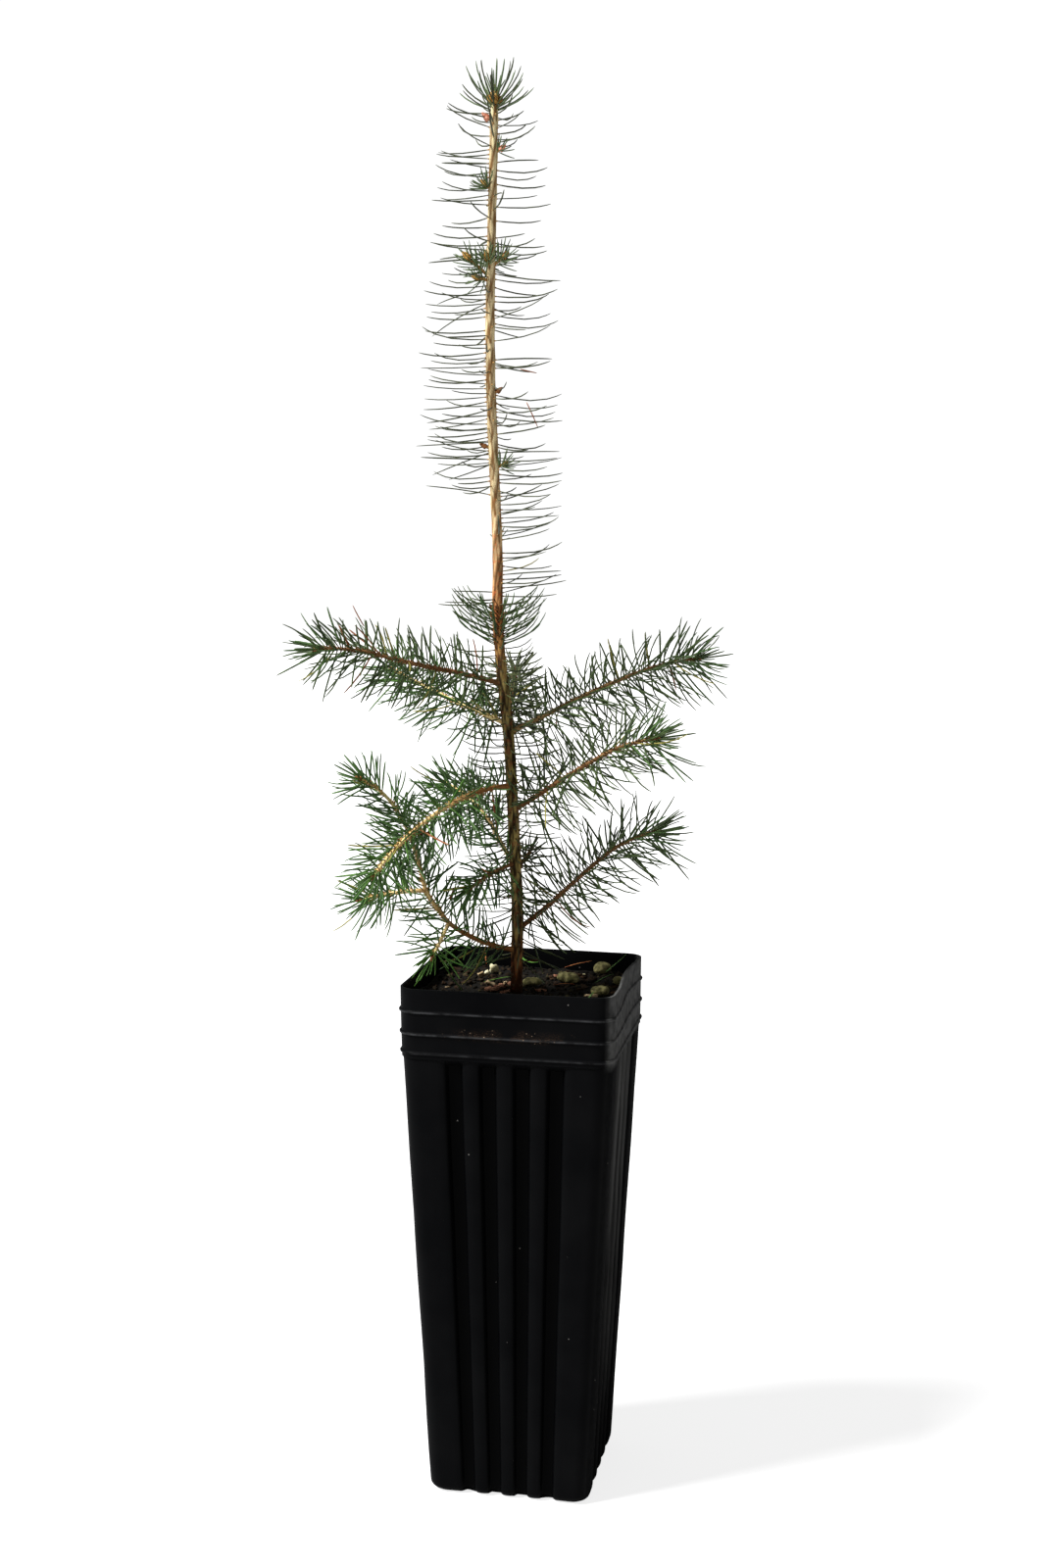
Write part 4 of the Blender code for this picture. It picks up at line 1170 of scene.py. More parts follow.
first = grow_line(on_axis(ARCH_HEIGHT), ARCH_AZIMUTH, ARCH_FIRST[1], ARCH_FIRST[0])
second = grow_line(first[-1], ARCH_AZIMUTH, ARCH_SECOND[1], ARCH_SECOND[0])
fork, bend = first[-1], second[-1]
rise = TWIGS["left_low_rise"]
third = grow_line(bend, rise[0], rise[2], rise[1])
arch = np.concatenate((first, second[1:], third[1:]))
arch = np.concatenate((arch[:1], (arch[:-2] + arch[1:-1] * 2 + arch[2:]) / 4, arch[-1:]))
radii = taper(ARCH_RADIUS, TWIG_TIP, arch, FOOT_SWELL)
shoots.append(Shoot("left_low", arch, radii, rise[4], rise[5], rise[6]))
for name, start in (("left_low_side", bend), ("left_low_hang", fork)):
    azimuth, length, climbs, radius, leans, reach, tint = TWIGS[name]
    line = grow_line(start, azimuth, climbs, length)
    shoots.append(Shoot(name, line, taper(radius, TWIG_TIP, line, TWIG_SWELL), leans, reach, tint))
stem = Shoot("stem", stem_line, stem_radii)
print("shoots:", [shoot.name for shoot in shoots])

# %% [markdown]
# ## Where the needles stand
#
# Spruce needles grow in a spiral, each a golden turn past the one before it. Each sits on a small
# woody peg, and a ridge runs down the bark under the peg. So the places come first: the bark is
# made to fit them, and then the pegs and the needles.

# %% The spiral
GOLDEN_TURN = math.radians(137.508)
# needles for each metre
ALONG_SHOOT = {"dark": 2560, "green": 2900, "fresh": 2100, "stem": 1700}
ALONG_STEM = 1300
BARE_FOOT = 0.0058         # of a bough, and then of the stem
BARE_STEM = 0.012


class Seats:
    """Where needles stand on a shoot: distance along it, turn round it, and share of the way."""

    def __init__(self, shoot, start, end, per_metre, rng):
        count = round((end - start) * per_metre)
        share = (np.arange(count) + 0.5) / count
        self.share = share
        self.distance = start + (end - start) * share
        self.angle = GOLDEN_TURN * np.arange(count) + rng.uniform(-0.22, 0.22, count)

        def at(values):
            return np.stack([np.interp(self.distance, shoot.lengths, values[:, k])
                             for k in range(3)], axis=1)

        self.axis = at(shoot.points)
        self.tangent = at(shoot.tangents)
        self.radius = np.interp(self.distance, shoot.lengths, shoot.radii)
        across, over = at(shoot.across), at(shoot.over)
        self.outward = across * np.cos(self.angle)[:, None] + over * np.sin(self.angle)[:, None]


draw = np.random.RandomState(11)
seats = {}
for shoot in shoots:
    end = shoot.lengths[-1] - 0.0012
    seats[shoot.name] = Seats(shoot, BARE_FOOT, end, ALONG_SHOOT[shoot.tint], draw)
seats["stem"] = Seats(stem, BARE_STEM, stem.lengths[-1] - 0.006, ALONG_STEM, draw)
print("needle seats:", sum(len(seat.share) for seat in seats.values()))

# %% [markdown]
# ## Bark
#
# A shoot of spruce isn't round: the ridges under the pegs stand side by side, with thin grooves
# between them. A cylinder is cut into rings by hand, its rings are laid along the line, and every
# corner is lifted by the ridge that it lies on. Two attributes are kept for the material: ridge,
# how far the corner was lifted, makes crests pale and grooves dark, and ripe, how far along the
# bough it is, turns brown bark to straw.

# %% Bark: a cylinder laid along a line
RIDGE_HEIGHT = 0.00026
RIDGE_LENGTH = 0.0115
RIPENS = {
    # the shares of a bough's length between which its bark turns from brown to straw
    "front_left": (0.24, 0.60), "left_low": (0.26, 0.44), "left_low_hang": (-0.3, 0.2),
    "left_low_side": (-0.2, 0.2), "back_left": (-0.1, 0.10), "back_low": (-0.1, 0.12),
    "left_upper": (0.30, 2.2), "right_mid": (0.20, 2.4), "right_low": (0.10, 1.8),
    "right_upper": (0.95, 0.30),
}
RIPENS_ELSEWHERE = (0.10, 0.90)


def ridge_lift(shoot, seat, distance, angle):
    """How high the ridges stand, 0 to 1, at these distances and angles on a shoot."""
    below = seat.distance[None, :] - distance[:, None]
    radius = np.interp(distance, shoot.lengths, shoot.radii)
    turn = (angle[:, None] - seat.angle[None, :] + math.pi) % math.tau - math.pi
    width = 0.00042 + 0.16 * radius[:, None]
    crest = np.exp(-(turn * radius[:, None] / width) ** 2)
    run = np.where(below > -0.0005, np.clip(1 - below / RIDGE_LENGTH, 0, 1), 0)
    peg = 0.7 * np.exp(-((below - 0.0002) / 0.0006) ** 2)
    return np.max(crest * (0.75 * run + peg), axis=1)


def cut_lengthwise(obj, cuts):
    """Cut a cylinder or cone of one unit's length into rings."""
    edit(obj, "EDGE")
    select_where(obj, "edges", lambda edge: abs(edge.verts[0].co.z - edge.verts[1].co.z) > 0.5)
    bpy.ops.mesh.subdivide(number_cuts=cuts)
    close_edit()


def cut_cylinder(name, sides, rings):
    """A cylinder of that many rings, its corners, and the ring that each of them is on."""
    start_fresh()
    bpy.ops.mesh.primitive_cylinder_add(vertices=sides, radius=1, depth=1)
    tube = rename(bpy.context.object, name)
    cut_lengthwise(tube, rings - 2)
    places = corners_of(tube)
    return tube, places, np.rint((places[:, 2] + 0.5) * (rings - 1)).astype(int)


def lay_bark(shoot, seat, sides, roughness):
    """A cylinder with one ring for each point of the shoot, lifted where its ridges are."""
    bark, places, ring = cut_cylinder(shoot.name + "_bark", sides, len(shoot.points))
    angle = np.arctan2(places[:, 1], places[:, 0])
    lift = ridge_lift(shoot, seat, shoot.lengths[ring], angle)
    radius = shoot.radii[ring]
    slim = np.minimum(1, radius / 0.0012)
    radius = radius * 0.95 + lift * RIDGE_HEIGHT * slim
    outward = (shoot.across[ring] * np.cos(angle)[:, None]
               + shoot.over[ring] * np.sin(angle)[:, None])
    surface = shoot.points[ring] + outward * radius[:, None]
    rough = np.array([noise.noise(Vector(place) * 900) + 0.6 * noise.noise(Vector(place) * 2100)
                      for place in surface])
    surface += outward * (rough * roughness(surface[:, 2]))[:, None]
    put_corners(bark, surface)
    keep_values(bark, "ridge", lift)
    first, last = RIPENS.get(shoot.name, RIPENS_ELSEWHERE)
    share = shoot.lengths[ring] / shoot.lengths[-1]
    keep_values(bark, "ripe", np.clip((share - first) / (last - first), 0, 1))
    take(bark)
    bpy.ops.object.shade_smooth()
    return bark


def join(pieces, name):
    start_fresh()
    for piece in pieces:
        piece.select_set(True)
    bpy.context.view_layer.objects.active = pieces[0]
    bpy.ops.object.join()
    return rename(bpy.context.object, name)


def stem_roughness(z):
    """The stem is rougher the older it is, from the whorl down."""
    return 0.00003 + 0.00020 * np.clip((0.43 - z) / 0.12, 0, 1)


def bough_roughness(z):
    return np.full(len(z), 0.00004)


PALE_BOUGHS = ("back_left", "back_low", "left_low_side", "left_low_hang", "left_low", "front_left")
stem_bark = lay_bark(stem, seats["stem"], 28, stem_roughness)
barks = {shoot.name: lay_bark(shoot, seats[shoot.name], 14, bough_roughness) for shoot in shoots}
pale_bark = join([bark for name, bark in barks.items() if name in PALE_BOUGHS],
                 "bough_bark_pale")
brown_bark = join([bark for name, bark in barks.items() if name not in PALE_BOUGHS],
                  "bough_bark_brown")
print("bark faces:", [len(piece.data.polygons) for piece in (stem_bark, pale_bark, brown_bark)])

# %% [markdown]
# The stem's colour tells its age. The leader of this year is straw yellow with brown lines, and
# orange with a blush toward the whorl. Under the whorl the bark is olive brown with patches of
# grey and rust, and it is red-brown at the soil. A ramp over the height blends these, and the
# ridges shade them.

# %% Bark: materials
def layer_ages(tree, z, ages):
    """Colours over the height; an age is where it starts, how far it blends, and its colour."""
    colour = ages[0][2]
    for height, over, paint in ages[1:]:
        colour = blend_colours(tree, colour, paint, ramp(tree, z, height - over, height + over))
    return colour


CREST_AGES = ((0.24, 0, (0.42, 0.132, 0.044)), (0.262, 0.012, (0.41, 0.305, 0.100)),
              (0.405, 0.014, (0.70, 0.290, 0.085)), (0.446, 0.026, (0.95, 0.76, 0.43)),
              (0.620, 0.030, (0.92, 0.79, 0.45)))
GROOVE_AGES = ((0.24, 0, (0.060, 0.019, 0.006)), (0.262, 0.012, (0.026, 0.0145, 0.004)),
               (0.405, 0.014, (0.11, 0.034, 0.010)), (0.446, 0.026, (0.27, 0.140, 0.048)))


def make_stem_bark():
    material, tree, shader = start_material("stem_bark", Roughness=0.82, Specular_IOR_Level=0.14)
    z = object_axes(tree)[2]
    crest = layer_ages(tree, z, CREST_AGES)
    groove = layer_ages(tree, z, GROOVE_AGES)
    ridge = ramp(tree, read_attribute(tree, "ridge"), 0.26, 0.66)
    colour = blend_colours(tree, groove, crest, ridge)
    line = effect(tree, "streaks", scale=1500.0, shortening=0.09, low=0.52, high=0.70)
    colour = blend_colours(tree, colour, (0.14, 0.060, 0.024), line, 0.55)
    young_foot = times(tree, ramp(tree, z, 0.410, 0.425), ramp(tree, z, 0.500, 0.440))
    blush = effect(tree, "blotches", scale=520.0, detail=3.0, low=0.54, high=0.64)
    colour = blend_colours(tree, colour, (0.62, 0.150, 0.045), young_foot, blush, 0.6)
    old = ramp(tree, z, 0.425, 0.395)
    lichen = effect(tree, "blotches", scale=420.0, detail=5.0, low=0.56, high=0.66)
    colour = blend_colours(tree, colour, (0.17, 0.165, 0.095), old, lichen, 0.45)
    rust = effect(tree, "blotches", scale=260.0, detail=3.0, low=0.56, high=0.66)
    colour = blend_colours(tree, colour, (0.26, 0.075, 0.028), old, rust, 0.6)
    tree.links.new(colour, shader.inputs["Base Color"])
    height = effect(tree, "streaks", scale=2600.0, shortening=0.2, low=0.2, high=0.8)
    add_bump(tree, shader, height, 0.5, 0.0002)
    return material


def make_bough_bark(name, old, young, fleck):
    """Bark of a bough: its colours on crest and in groove, old and young, and of its flecks."""
    material, tree, shader = start_material(name, Roughness=0.8, Specular_IOR_Level=0.12)
    ridge = ramp(tree, read_attribute(tree, "ridge"), 0.10, 0.60)
    ripe = read_attribute(tree, "ripe")
    colour = blend_colours(tree, blend_colours(tree, old[1], old[0], ridge),
                           blend_colours(tree, young[1], young[0], ridge), ripe)
    warm = effect(tree, "blotches", scale=46.0, detail=2.0, low=0.50, high=0.62)
    colour = blend_colours(tree, colour, tuple(2.0 * c for c in fleck), warm, 0.45)
    patch = effect(tree, "blotches", scale=340.0, detail=5.0, low=0.54, high=0.68)
    colour = blend_colours(tree, colour, fleck, patch, 0.5)
    tree.links.new(colour, shader.inputs["Base Color"])
    add_bump(tree, shader, effect(tree, "unevenness", scale=2400.0, detail=4.0), 0.5, 0.0002)
    return material


stem_bark.data.materials.append(make_stem_bark())
pale_bark.data.materials.append(make_bough_bark(
    "bough_bark_pale", ((0.33, 0.140, 0.044), (0.10, 0.036, 0.012)),
    ((1.0, 0.80, 0.37), (0.60, 0.36, 0.125)), (0.27, 0.122, 0.040)))
brown_bark.data.materials.append(make_bough_bark(
    "bough_bark_brown", ((0.205, 0.088, 0.034), (0.060, 0.024, 0.009)),
    ((0.46, 0.290, 0.125), (0.17, 0.095, 0.036)), (0.12, 0.066, 0.025)))
node_names = sorted(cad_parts)
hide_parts("trunk")
pale_nodes = [node for node in node_names if node.startswith("bough_left_low")]
pale_nodes += ["bough_" + name for name in PALE_BOUGHS if name in BOUGHS]
brown_nodes = [node for node in node_names if node.startswith("bough_") and node not in pale_nodes]
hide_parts(*pale_nodes)
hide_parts(*brown_nodes)
for piece in (stem_bark, pale_bark, brown_bark):
    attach(piece, "root")
print("brown boughs stand for", brown_nodes)

# %% [markdown]
# ## One needle
#
# A spruce needle has four sides, like a thin stretched diamond, and ends in a point. It is
# modelled once: a four-sided cone is cut into rings along its length, and the rings are given
# their places and widths. The needle narrows only at its stalk and near its end. Some thirty faces
# are enough, because thousands of copies follow.

# %% Model the needle
# place along the needle, and share of its width
NEEDLE_RINGS = ((0.0, 0.60), (0.06, 0.84), (0.20, 1.0), (0.50, 1.0), (0.76, 0.93), (0.91, 0.74),
                (0.975, 0.42))
FLATNESS = 0.78


def model_needle():
    start_fresh()
    bpy.ops.mesh.primitive_cone_add(vertices=4, radius1=1, radius2=0, depth=1,
                                    location=(0, 0, 0.5))
    needle = rename(bpy.context.object, "needle_model")
    cut_lengthwise(needle, len(NEEDLE_RINGS) - 1)
    bpy.ops.object.transform_apply(location=True, rotation=True, scale=True)
    places = corners_of(needle)
    for place in places:
        ring = round(place[2] * len(NEEDLE_RINGS))
        if ring < len(NEEDLE_RINGS):
            along, width = NEEDLE_RINGS[ring]
            angle = math.atan2(place[1], place[0])
            place[:] = (width * math.cos(angle), FLATNESS * width * math.sin(angle), along)
    put_corners(needle, places)
    return needle


needle_model = model_needle()
print("faces in one needle:", len(needle_model.data.polygons))

# %% [markdown]
# Each copy is bent along a path. The needle sets off in one direction, swings through a second,
# and ends in a third, which gives the leader's needles their sagging curve with the tip turned up.

# %% Bend copies of the needle
def add_needle(rows, root, start, middle, end, length, width):
    """One row: root, the ways in which it sets off, swings and ends, length and half width."""
    rows.append((*root, *start, *middle, *end, length, width))


def bend_needles(name, rows, model, material):
    """One object from bent copies of the model, one for each row."""
    rows = np.array(rows)
    root, start, middle, end = rows[:, 0:3], rows[:, 3:6], rows[:, 6:9], rows[:, 9:12]
    length, width = rows[:, 12, None], rows[:, 13, None]
    shape = corners_of(model)
    t = shape[:, 2]
    parts = ((t - t ** 2 + t ** 3 / 3), (t ** 2 - 2 * t ** 3 / 3), (t ** 3 / 3))
    speeds = ((1 - t) ** 2, 2 * t * (1 - t), t ** 2)
    centre = root[:, None] + length[:, :, None] * sum(
        way[:, None] * part[None, :, None] for way, part in zip((start, middle, end), parts))
    tangent = sum(way[:, None] * speed[None, :, None]
                  for way, speed in zip((start, middle, end), speeds))
    tangent /= np.linalg.norm(tangent, axis=2)[:, :, None]
    side = np.cross(start, end)
    weak = np.linalg.norm(side, axis=1) < 0.05
    side[weak] = np.cross(start[weak], (0.3, 0.2, 0.93))
    side /= np.linalg.norm(side, axis=1)[:, None]
    side = np.broadcast_to(side[:, None], tangent.shape)
    over = np.cross(tangent, side)
    places = centre + width[:, :, None] * (side * shape[None, :, 0, None]
                                           + over * shape[None, :, 1, None])
    loops, sizes = repeat_faces(model, len(rows))
    obj = build_mesh(name, places.reshape(-1, 3), loops, sizes, material)
    keep_values(obj, "along", np.tile(t, len(rows)))
    obj.data.shade_smooth()
    return obj


# %% [markdown]
# ## Growing the needles
#
# On a bough a needle leans forward, more and more toward the tip, and those underneath are longer.
# On the stem it stands level and curls up. A needle that would touch another limb, the stem, the
# fill or the pot's wall is left out, and so is one that would stand far out of the solids' box.

# %% Room for needles
NEAR = 0.05                # wood further up or down than this isn't tested
CLEARANCE = 0.0005         # between needles and the wood of other shoots
SPARE = 0.0024             # how far a tip may stand out of the solids' box
FILL_REACH = 0.0488
FILL_LEVEL = 0.2425
WALL_LEVEL = 0.2510
WALL_SPAN = (0.0485, 0.0520)


class Wood:
    """Points on the axes of all limbs, to keep needles clear of them."""

    def __init__(self, shoots):
        self.places = np.concatenate([shoot.points[::2] for shoot in shoots])
        self.radii = np.concatenate([shoot.radii[::2] for shoot in shoots])
        self.names = np.concatenate([[shoot.name] * len(shoot.points[::2]) for shoot in shoots])

    def is_clear(self, name, points):
        """Whether these points stay off all wood but their own shoot's."""
        near = self.names != name
        if name == "stem":
            near &= np.abs(self.places[:, 2] - points[0][2]) < NEAR
        apart = np.linalg.norm(points[:, None] - self.places[None, near], axis=2)
        return bool(np.all(apart > self.radii[None, near] + CLEARANCE))


def misses_pot(points):
    """Whether these points are over the fill, and clear of the wall and the collar."""
    reach = np.max(np.abs(points[:, :2]), axis=1)
    in_fill = (points[:, 2] < FILL_LEVEL) & (reach < FILL_REACH)
    in_wall = (points[:, 2] < WALL_LEVEL) & (reach >= WALL_SPAN[0]) & (reach < WALL_SPAN[1])
    return not (in_fill | in_wall).any()


def fits_box(points):
    """Whether these points stay by the box that the solids fill."""
    low, high = (np.array(corner) for corner in cad_box)
    return bool(np.all(points > low - SPARE) and np.all(points < high + SPARE))


wood = Wood([stem] + shoots)
print("points of wood:", len(wood.places))

# %% Plant one needle
TINTS = ("grey", "stem", "dark", "green", "fresh", "young", "yellow", "rust")
growth = {tint: [] for tint in TINTS}
pegs = {"pale": [], "brown": []}
UP = np.array((0.0, 0.0, 1.0))
ROOT_LIFT = 0.0006         # of a needle's root over the bark, on its peg
PEG_SINK = 0.0010
PEG_LENGTH = 0.0014
PEG_WIDTH = 0.00034
OLD_LEADER = 0.43          # the height under which pegs are brown


def unit(vector):
    return vector / np.linalg.norm(vector)


def plant_needle(name, tint, root, start, middle, end, length, width, peg=None):
    """Add one needle, and the peg if it has one, unless something is in the way."""
    samples = np.array([
        root + length * (start * (t - t * t + t ** 3 / 3) + middle * (t * t - 2 * t ** 3 / 3)
                         + end * t ** 3 / 3) for t in np.linspace(0.2, 1.0, 9)])
    if misses_pot(samples) and fits_box(samples) and wood.is_clear(name, samples):
        add_needle(growth[tint], root, start, middle, end, length, width)
        if peg:
            foot = root - start * PEG_SINK
            add_needle(pegs[peg], foot, start, start, start, PEG_LENGTH, PEG_WIDTH)


# %% Needles on the boughs
def spread(along, outward, angle):
    """A direction that leans out from the way along by this angle."""
    return along * math.cos(angle) + outward * math.sin(angle)


def draw_tint(tint, rng, share):
    """Mostly the spray's own tint, with a few yellowed or withered needles and fresher tips."""
    chance = rng.random()
    if chance < 0.004:
        return "rust"
    if chance < 0.022:
        return "yellow"
    if tint == "green" and chance > 0.82:
        return "fresh"
    if tint in ("green", "dark") and share > 0.84 and chance > 0.55:
        return "fresh" if tint == "green" else "green"
    return tint


# The share of its needles that a bough has lost
FALLEN = {"left_low": 0.28, "back_left": 0.27, "back_low": 0.27, "left_upper": 0.08,
          "front_left": 0.06, "left_low_side": 0.12}
# Half widths of needles
ON_BOUGH = (0.00043, 0.00052)
IN_TUFT = 0.00045
IN_WHORL = 0.00039
AT_TIP = 0.00043
IN_CROWN = 0.00042
ON_STEM = 0.00043
ON_LEADER = 0.00041
THIN = 0.00036


def grow_on_bough(shoot, rng):
    """Needles round the whole bough, fewer and shorter over its first centimetre."""
    seat = seats[shoot.name]
    peg = "pale" if shoot.name in PALE_BOUGHS else "brown"
    for i, share in enumerate(seat.share):
        near_foot = min(1.0, seat.distance[i] / 0.016)
        if rng.random() > 0.45 + 0.55 * near_foot:
            continue
        if rng.random() < FALLEN.get(shoot.name, 0.0):
            continue
        lean = math.radians(np.interp(share, (0, 0.5, 1), shoot.leans) + rng.gauss(0, 13))
        tangent = seat.tangent[i]
        outward = unit(seat.outward[i] + np.cross(tangent, seat.outward[i]) * rng.gauss(0, 0.20))
        sideways = np.cross(tangent, outward) * rng.gauss(0, 0.25)
        start = unit(spread(tangent, outward, lean + 0.10))
        middle = unit(spread(tangent, outward, lean) + sideways * 0.4)
        end = unit(spread(tangent, outward, lean - rng.uniform(-0.24, 0.62)) + sideways
                   + UP * rng.uniform(-0.12, 0.32))
        length = (shoot.reach * rng.uniform(0.78, 1.06) * (1 - 0.15 * outward[2])
                  * (0.84 + 0.16 * near_foot))
        root = seat.axis[i] + outward * (seat.radius[i] + ROOT_LIFT)
        width = rng.uniform(*ON_BOUGH)
        plant_needle(shoot.name, draw_tint(shoot.tint, rng, share), root, start, middle, end,
                     length, width, peg)
    grow_tuft(shoot, rng)


def grow_tuft(shoot, rng):
    """The close brush of needles round the end bud."""
    count = 5 if shoot.tint == "stem" else 15
    tangent, across, over = shoot.tangents[-1], shoot.across[-1], shoot.over[-1]
    for i in range(count):
        angle = GOLDEN_TURN * i + rng.uniform(-0.3, 0.3)
        outward = spread(across, over, angle)
        lean = math.radians(8 + 42 * (i / count) ** 0.8 + rng.uniform(-9, 9))
        place = shoot.points[-1] - tangent * 0.0034 * (i / count)
        start = unit(spread(tangent, outward, lean + 0.12))
        end = unit(spread(tangent, outward, lean - 0.12) + UP * 0.08)
        length = shoot.reach * rng.uniform(0.48, 0.80)
        root = place + outward * 0.0005
        brighter = {"dark": "green", "green": "fresh"}.get(shoot.tint, shoot.tint)
        tint = brighter if rng.random() < 0.40 else shoot.tint
        plant_needle(shoot.name, tint, root, start, start, end, length, IN_TUFT)


rng = random.Random(23)
for shoot in shoots:
    grow_on_bough(shoot, rng)
print("needles on the boughs:", sum(len(rows) for rows in growth.values()))

# %% [markdown]
# The stem's needles are described by height: how steeply they set off and end, how long they are,
# and how many of their seats are still filled. The leader has lost those on its lower left.

# %% Needles on the stem
STEM_STRETCHES = (
    # low, high, first rise, last rise, length, filled, tint
    (0.2480, 0.2800, -22, -18, 0.0215, 0.72, "stem"),
    (0.2800, 0.3200, -12, 10, 0.0235, 0.88, "stem"),
    (0.3200, 0.3600, -6, 26, 0.0240, 0.96, "stem"),
    (0.3600, 0.4070, -4, 46, 0.0245, 1.00, "stem"),
    (0.4070, 0.4250, 24, 52, 0.0245, 1.00, "dark"),
    (0.4250, 0.4780, 4, 22, 0.0295, 0.84, "grey"),
    (0.4780, 0.5290, -6, 14, 0.0320, 0.80, "grey"),
    (0.5290, 0.5780, -6, 14, 0.0310, 0.80, "grey"),
    (0.5780, 0.6000, -4, 12, 0.0270, 0.66, "grey"),
    (0.6000, 0.6330, -3, 18, 0.0252, 0.66, "grey"),
    (0.6330, 0.6490, 6, 46, 0.0230, 0.90, "grey"),
)
BARE_LEFT = (0.4290, 0.4760)
RIGHT_ARC = (-95, 80)
WHORL_COUNT = 44
WHORL_HEIGHTS = (0.4085, 0.0145)    # the lowest, and how far the ring goes up from there
TOP_COUNT = 36
CROWN_COUNT = 9


def is_bare(height, azimuth):
    """The leader's lower left side has no needles."""
    if not BARE_LEFT[0] < height < BARE_LEFT[1]:
        return False
    turn = (azimuth - math.degrees(SIDEWAYS) + 180) % 360 - 180
    return not RIGHT_ARC[0] < turn < RIGHT_ARC[1]


def rise_toward(outward, degrees):
    """A level direction, raised by this many degrees."""
    level = math.cos(math.radians(degrees))
    return np.array((outward[0] * level, outward[1] * level, math.sin(math.radians(degrees))))


def grow_on_stem(rng):
    """Needles on the spiral, as their stretch of the stem says; a tenth of them are short."""
    seat = seats["stem"]
    for i, outward in enumerate(seat.outward):
        height = seat.axis[i][2]
        rows = [row for row in STEM_STRETCHES if row[0] <= height < row[1]]
        if not rows:
            continue
        first, last, length, filled, tint = rows[0][2:]
        turn = math.atan2(outward[1], outward[0])
        if tint == "grey":
            turn -= 0.30 * math.sin(2 * (turn - SIDEWAYS))
        outward = level_ray(turn)
        if rng.random() > filled or is_bare(height, math.degrees(turn)):
            continue
        first += rng.gauss(0, 6 if tint == "grey" else 4)
        last += rng.gauss(0, 10 if tint == "grey" else 6)
        sag = 0.55 * first + 0.05 * last - 2
        reach = length * rng.uniform(0.84, 1.02)
        if rng.random() < 0.10:
            reach *= rng.uniform(0.45, 0.75)
        slim = ON_LEADER if tint == "grey" else ON_STEM
        root = seat.axis[i] + outward * (seat.radius[i] + ROOT_LIFT)
        turned = unit(outward + np.cross(UP, outward) * rng.gauss(0, 0.13))
        peg = "pale" if height > OLD_LEADER else "brown"
        chance = rng.random()
        if chance < 0.002 and tint != "grey":
            tint = "rust"
        elif chance < 0.006:
            tint = "yellow"
        plant_needle("stem", tint, root, rise_toward(outward, first), rise_toward(turned, sag),
                     rise_toward(turned, last), reach, slim * rng.uniform(0.9, 1.12), peg)


def grow_whorl(rng):
    """The close ring of upswept needles where last year's growth ended."""
    for i in range(WHORL_COUNT):
        outward = level_ray(GOLDEN_TURN * i + rng.uniform(-0.2, 0.2))
        height = WHORL_HEIGHTS[0] + WHORL_HEIGHTS[1] * i / WHORL_COUNT
        root = on_axis(height) + outward * 0.0031
        plant_needle("stem", "dark" if i % 4 else "green", root,
                     rise_toward(outward, rng.uniform(2, 20)), rise_toward(outward, 30),
                     rise_toward(outward, rng.uniform(54, 74)), rng.uniform(0.0220, 0.0265),
                     IN_WHORL, "brown")


def grow_top(rng):
    """The tuft round the leader's end bud."""
    tip = stem.points[-1]
    for i in range(TOP_COUNT):
        outward = level_ray(GOLDEN_TURN * i + rng.uniform(-0.3, 0.3))
        lean = 12 + 50 * (i / TOP_COUNT) ** 0.9 + rng.uniform(-6, 6)
        root = tip + outward * 0.0014 - UP * (0.0030 + 0.0060 * i / TOP_COUNT)
        start = rise_toward(outward, 90 - lean - 14)
        end = rise_toward(outward, min(88, 90 - lean + 16))
        plant_needle("stem", "grey" if i % 2 else "young", root, start, start, end,
                     rng.uniform(0.0160, 0.0208), AT_TIP)
    for i in range(CROWN_COUNT):
        outward = level_ray(GOLDEN_TURN * i)
        start = rise_toward(outward, 78 - 2.5 * i)
        plant_needle("stem", "young", tip + outward * 0.0012 - UP * 0.0005, start, start, start,
                     rng.uniform(0.0070, 0.0105), IN_CROWN)


STRAYS = (
    # tint, root in metres, azimuth, first rise, last rise, length
    ("grey", on_axis(0.5010), 192, -2, -4, 0.0345),
    ("grey", on_axis(0.4965), 194, -19, -24, 0.0290),
    ("grey", on_axis(0.4910), 197, -24, -16, 0.0210),
    ("grey", on_axis(0.5640), 193, -22, -40, 0.0300),
    ("grey", on_axis(0.4270), 193, 0, 2, 0.0235),
    ("grey", on_axis(0.4320), 190, 3, -1, 0.0195),
    ("rust", (0.0010, -0.0145, 0.5190), 350, -62, -66, 0.0130),
    ("rust", (-0.0655, -0.0440, 0.4170), 200, 58, 66, 0.0110),
    ("rust", (-0.0020, -0.0150, 0.5340), 20, -14, -10, 0.0080),
)


def drop_strays():
    """Single needles that show in the crown: bent, straight or withered."""
    for tint, root, azimuth, first, last, length in STRAYS:
        outward = level_ray(math.radians(azimuth))
        start, end = rise_toward(outward, first), rise_toward(outward, last)
        add_needle(growth[tint], root + outward * 0.0015, start, (start + end) / 2, end, length,
                   THIN)


grow_on_stem(rng)
grow_whorl(rng)
grow_top(rng)
drop_strays()
print("needles in all:", {tint: len(rows) for tint, rows in growth.items()})

# %% [markdown]
# ## Buds and short shoots
#
# Along the leader sit brown buds, and some have opened into short tufts of blue-green needles. A
# bud is an egg with a point, wrapped in thin scales. One scale is shaped from a plane and copied
# round the bud in three rows.

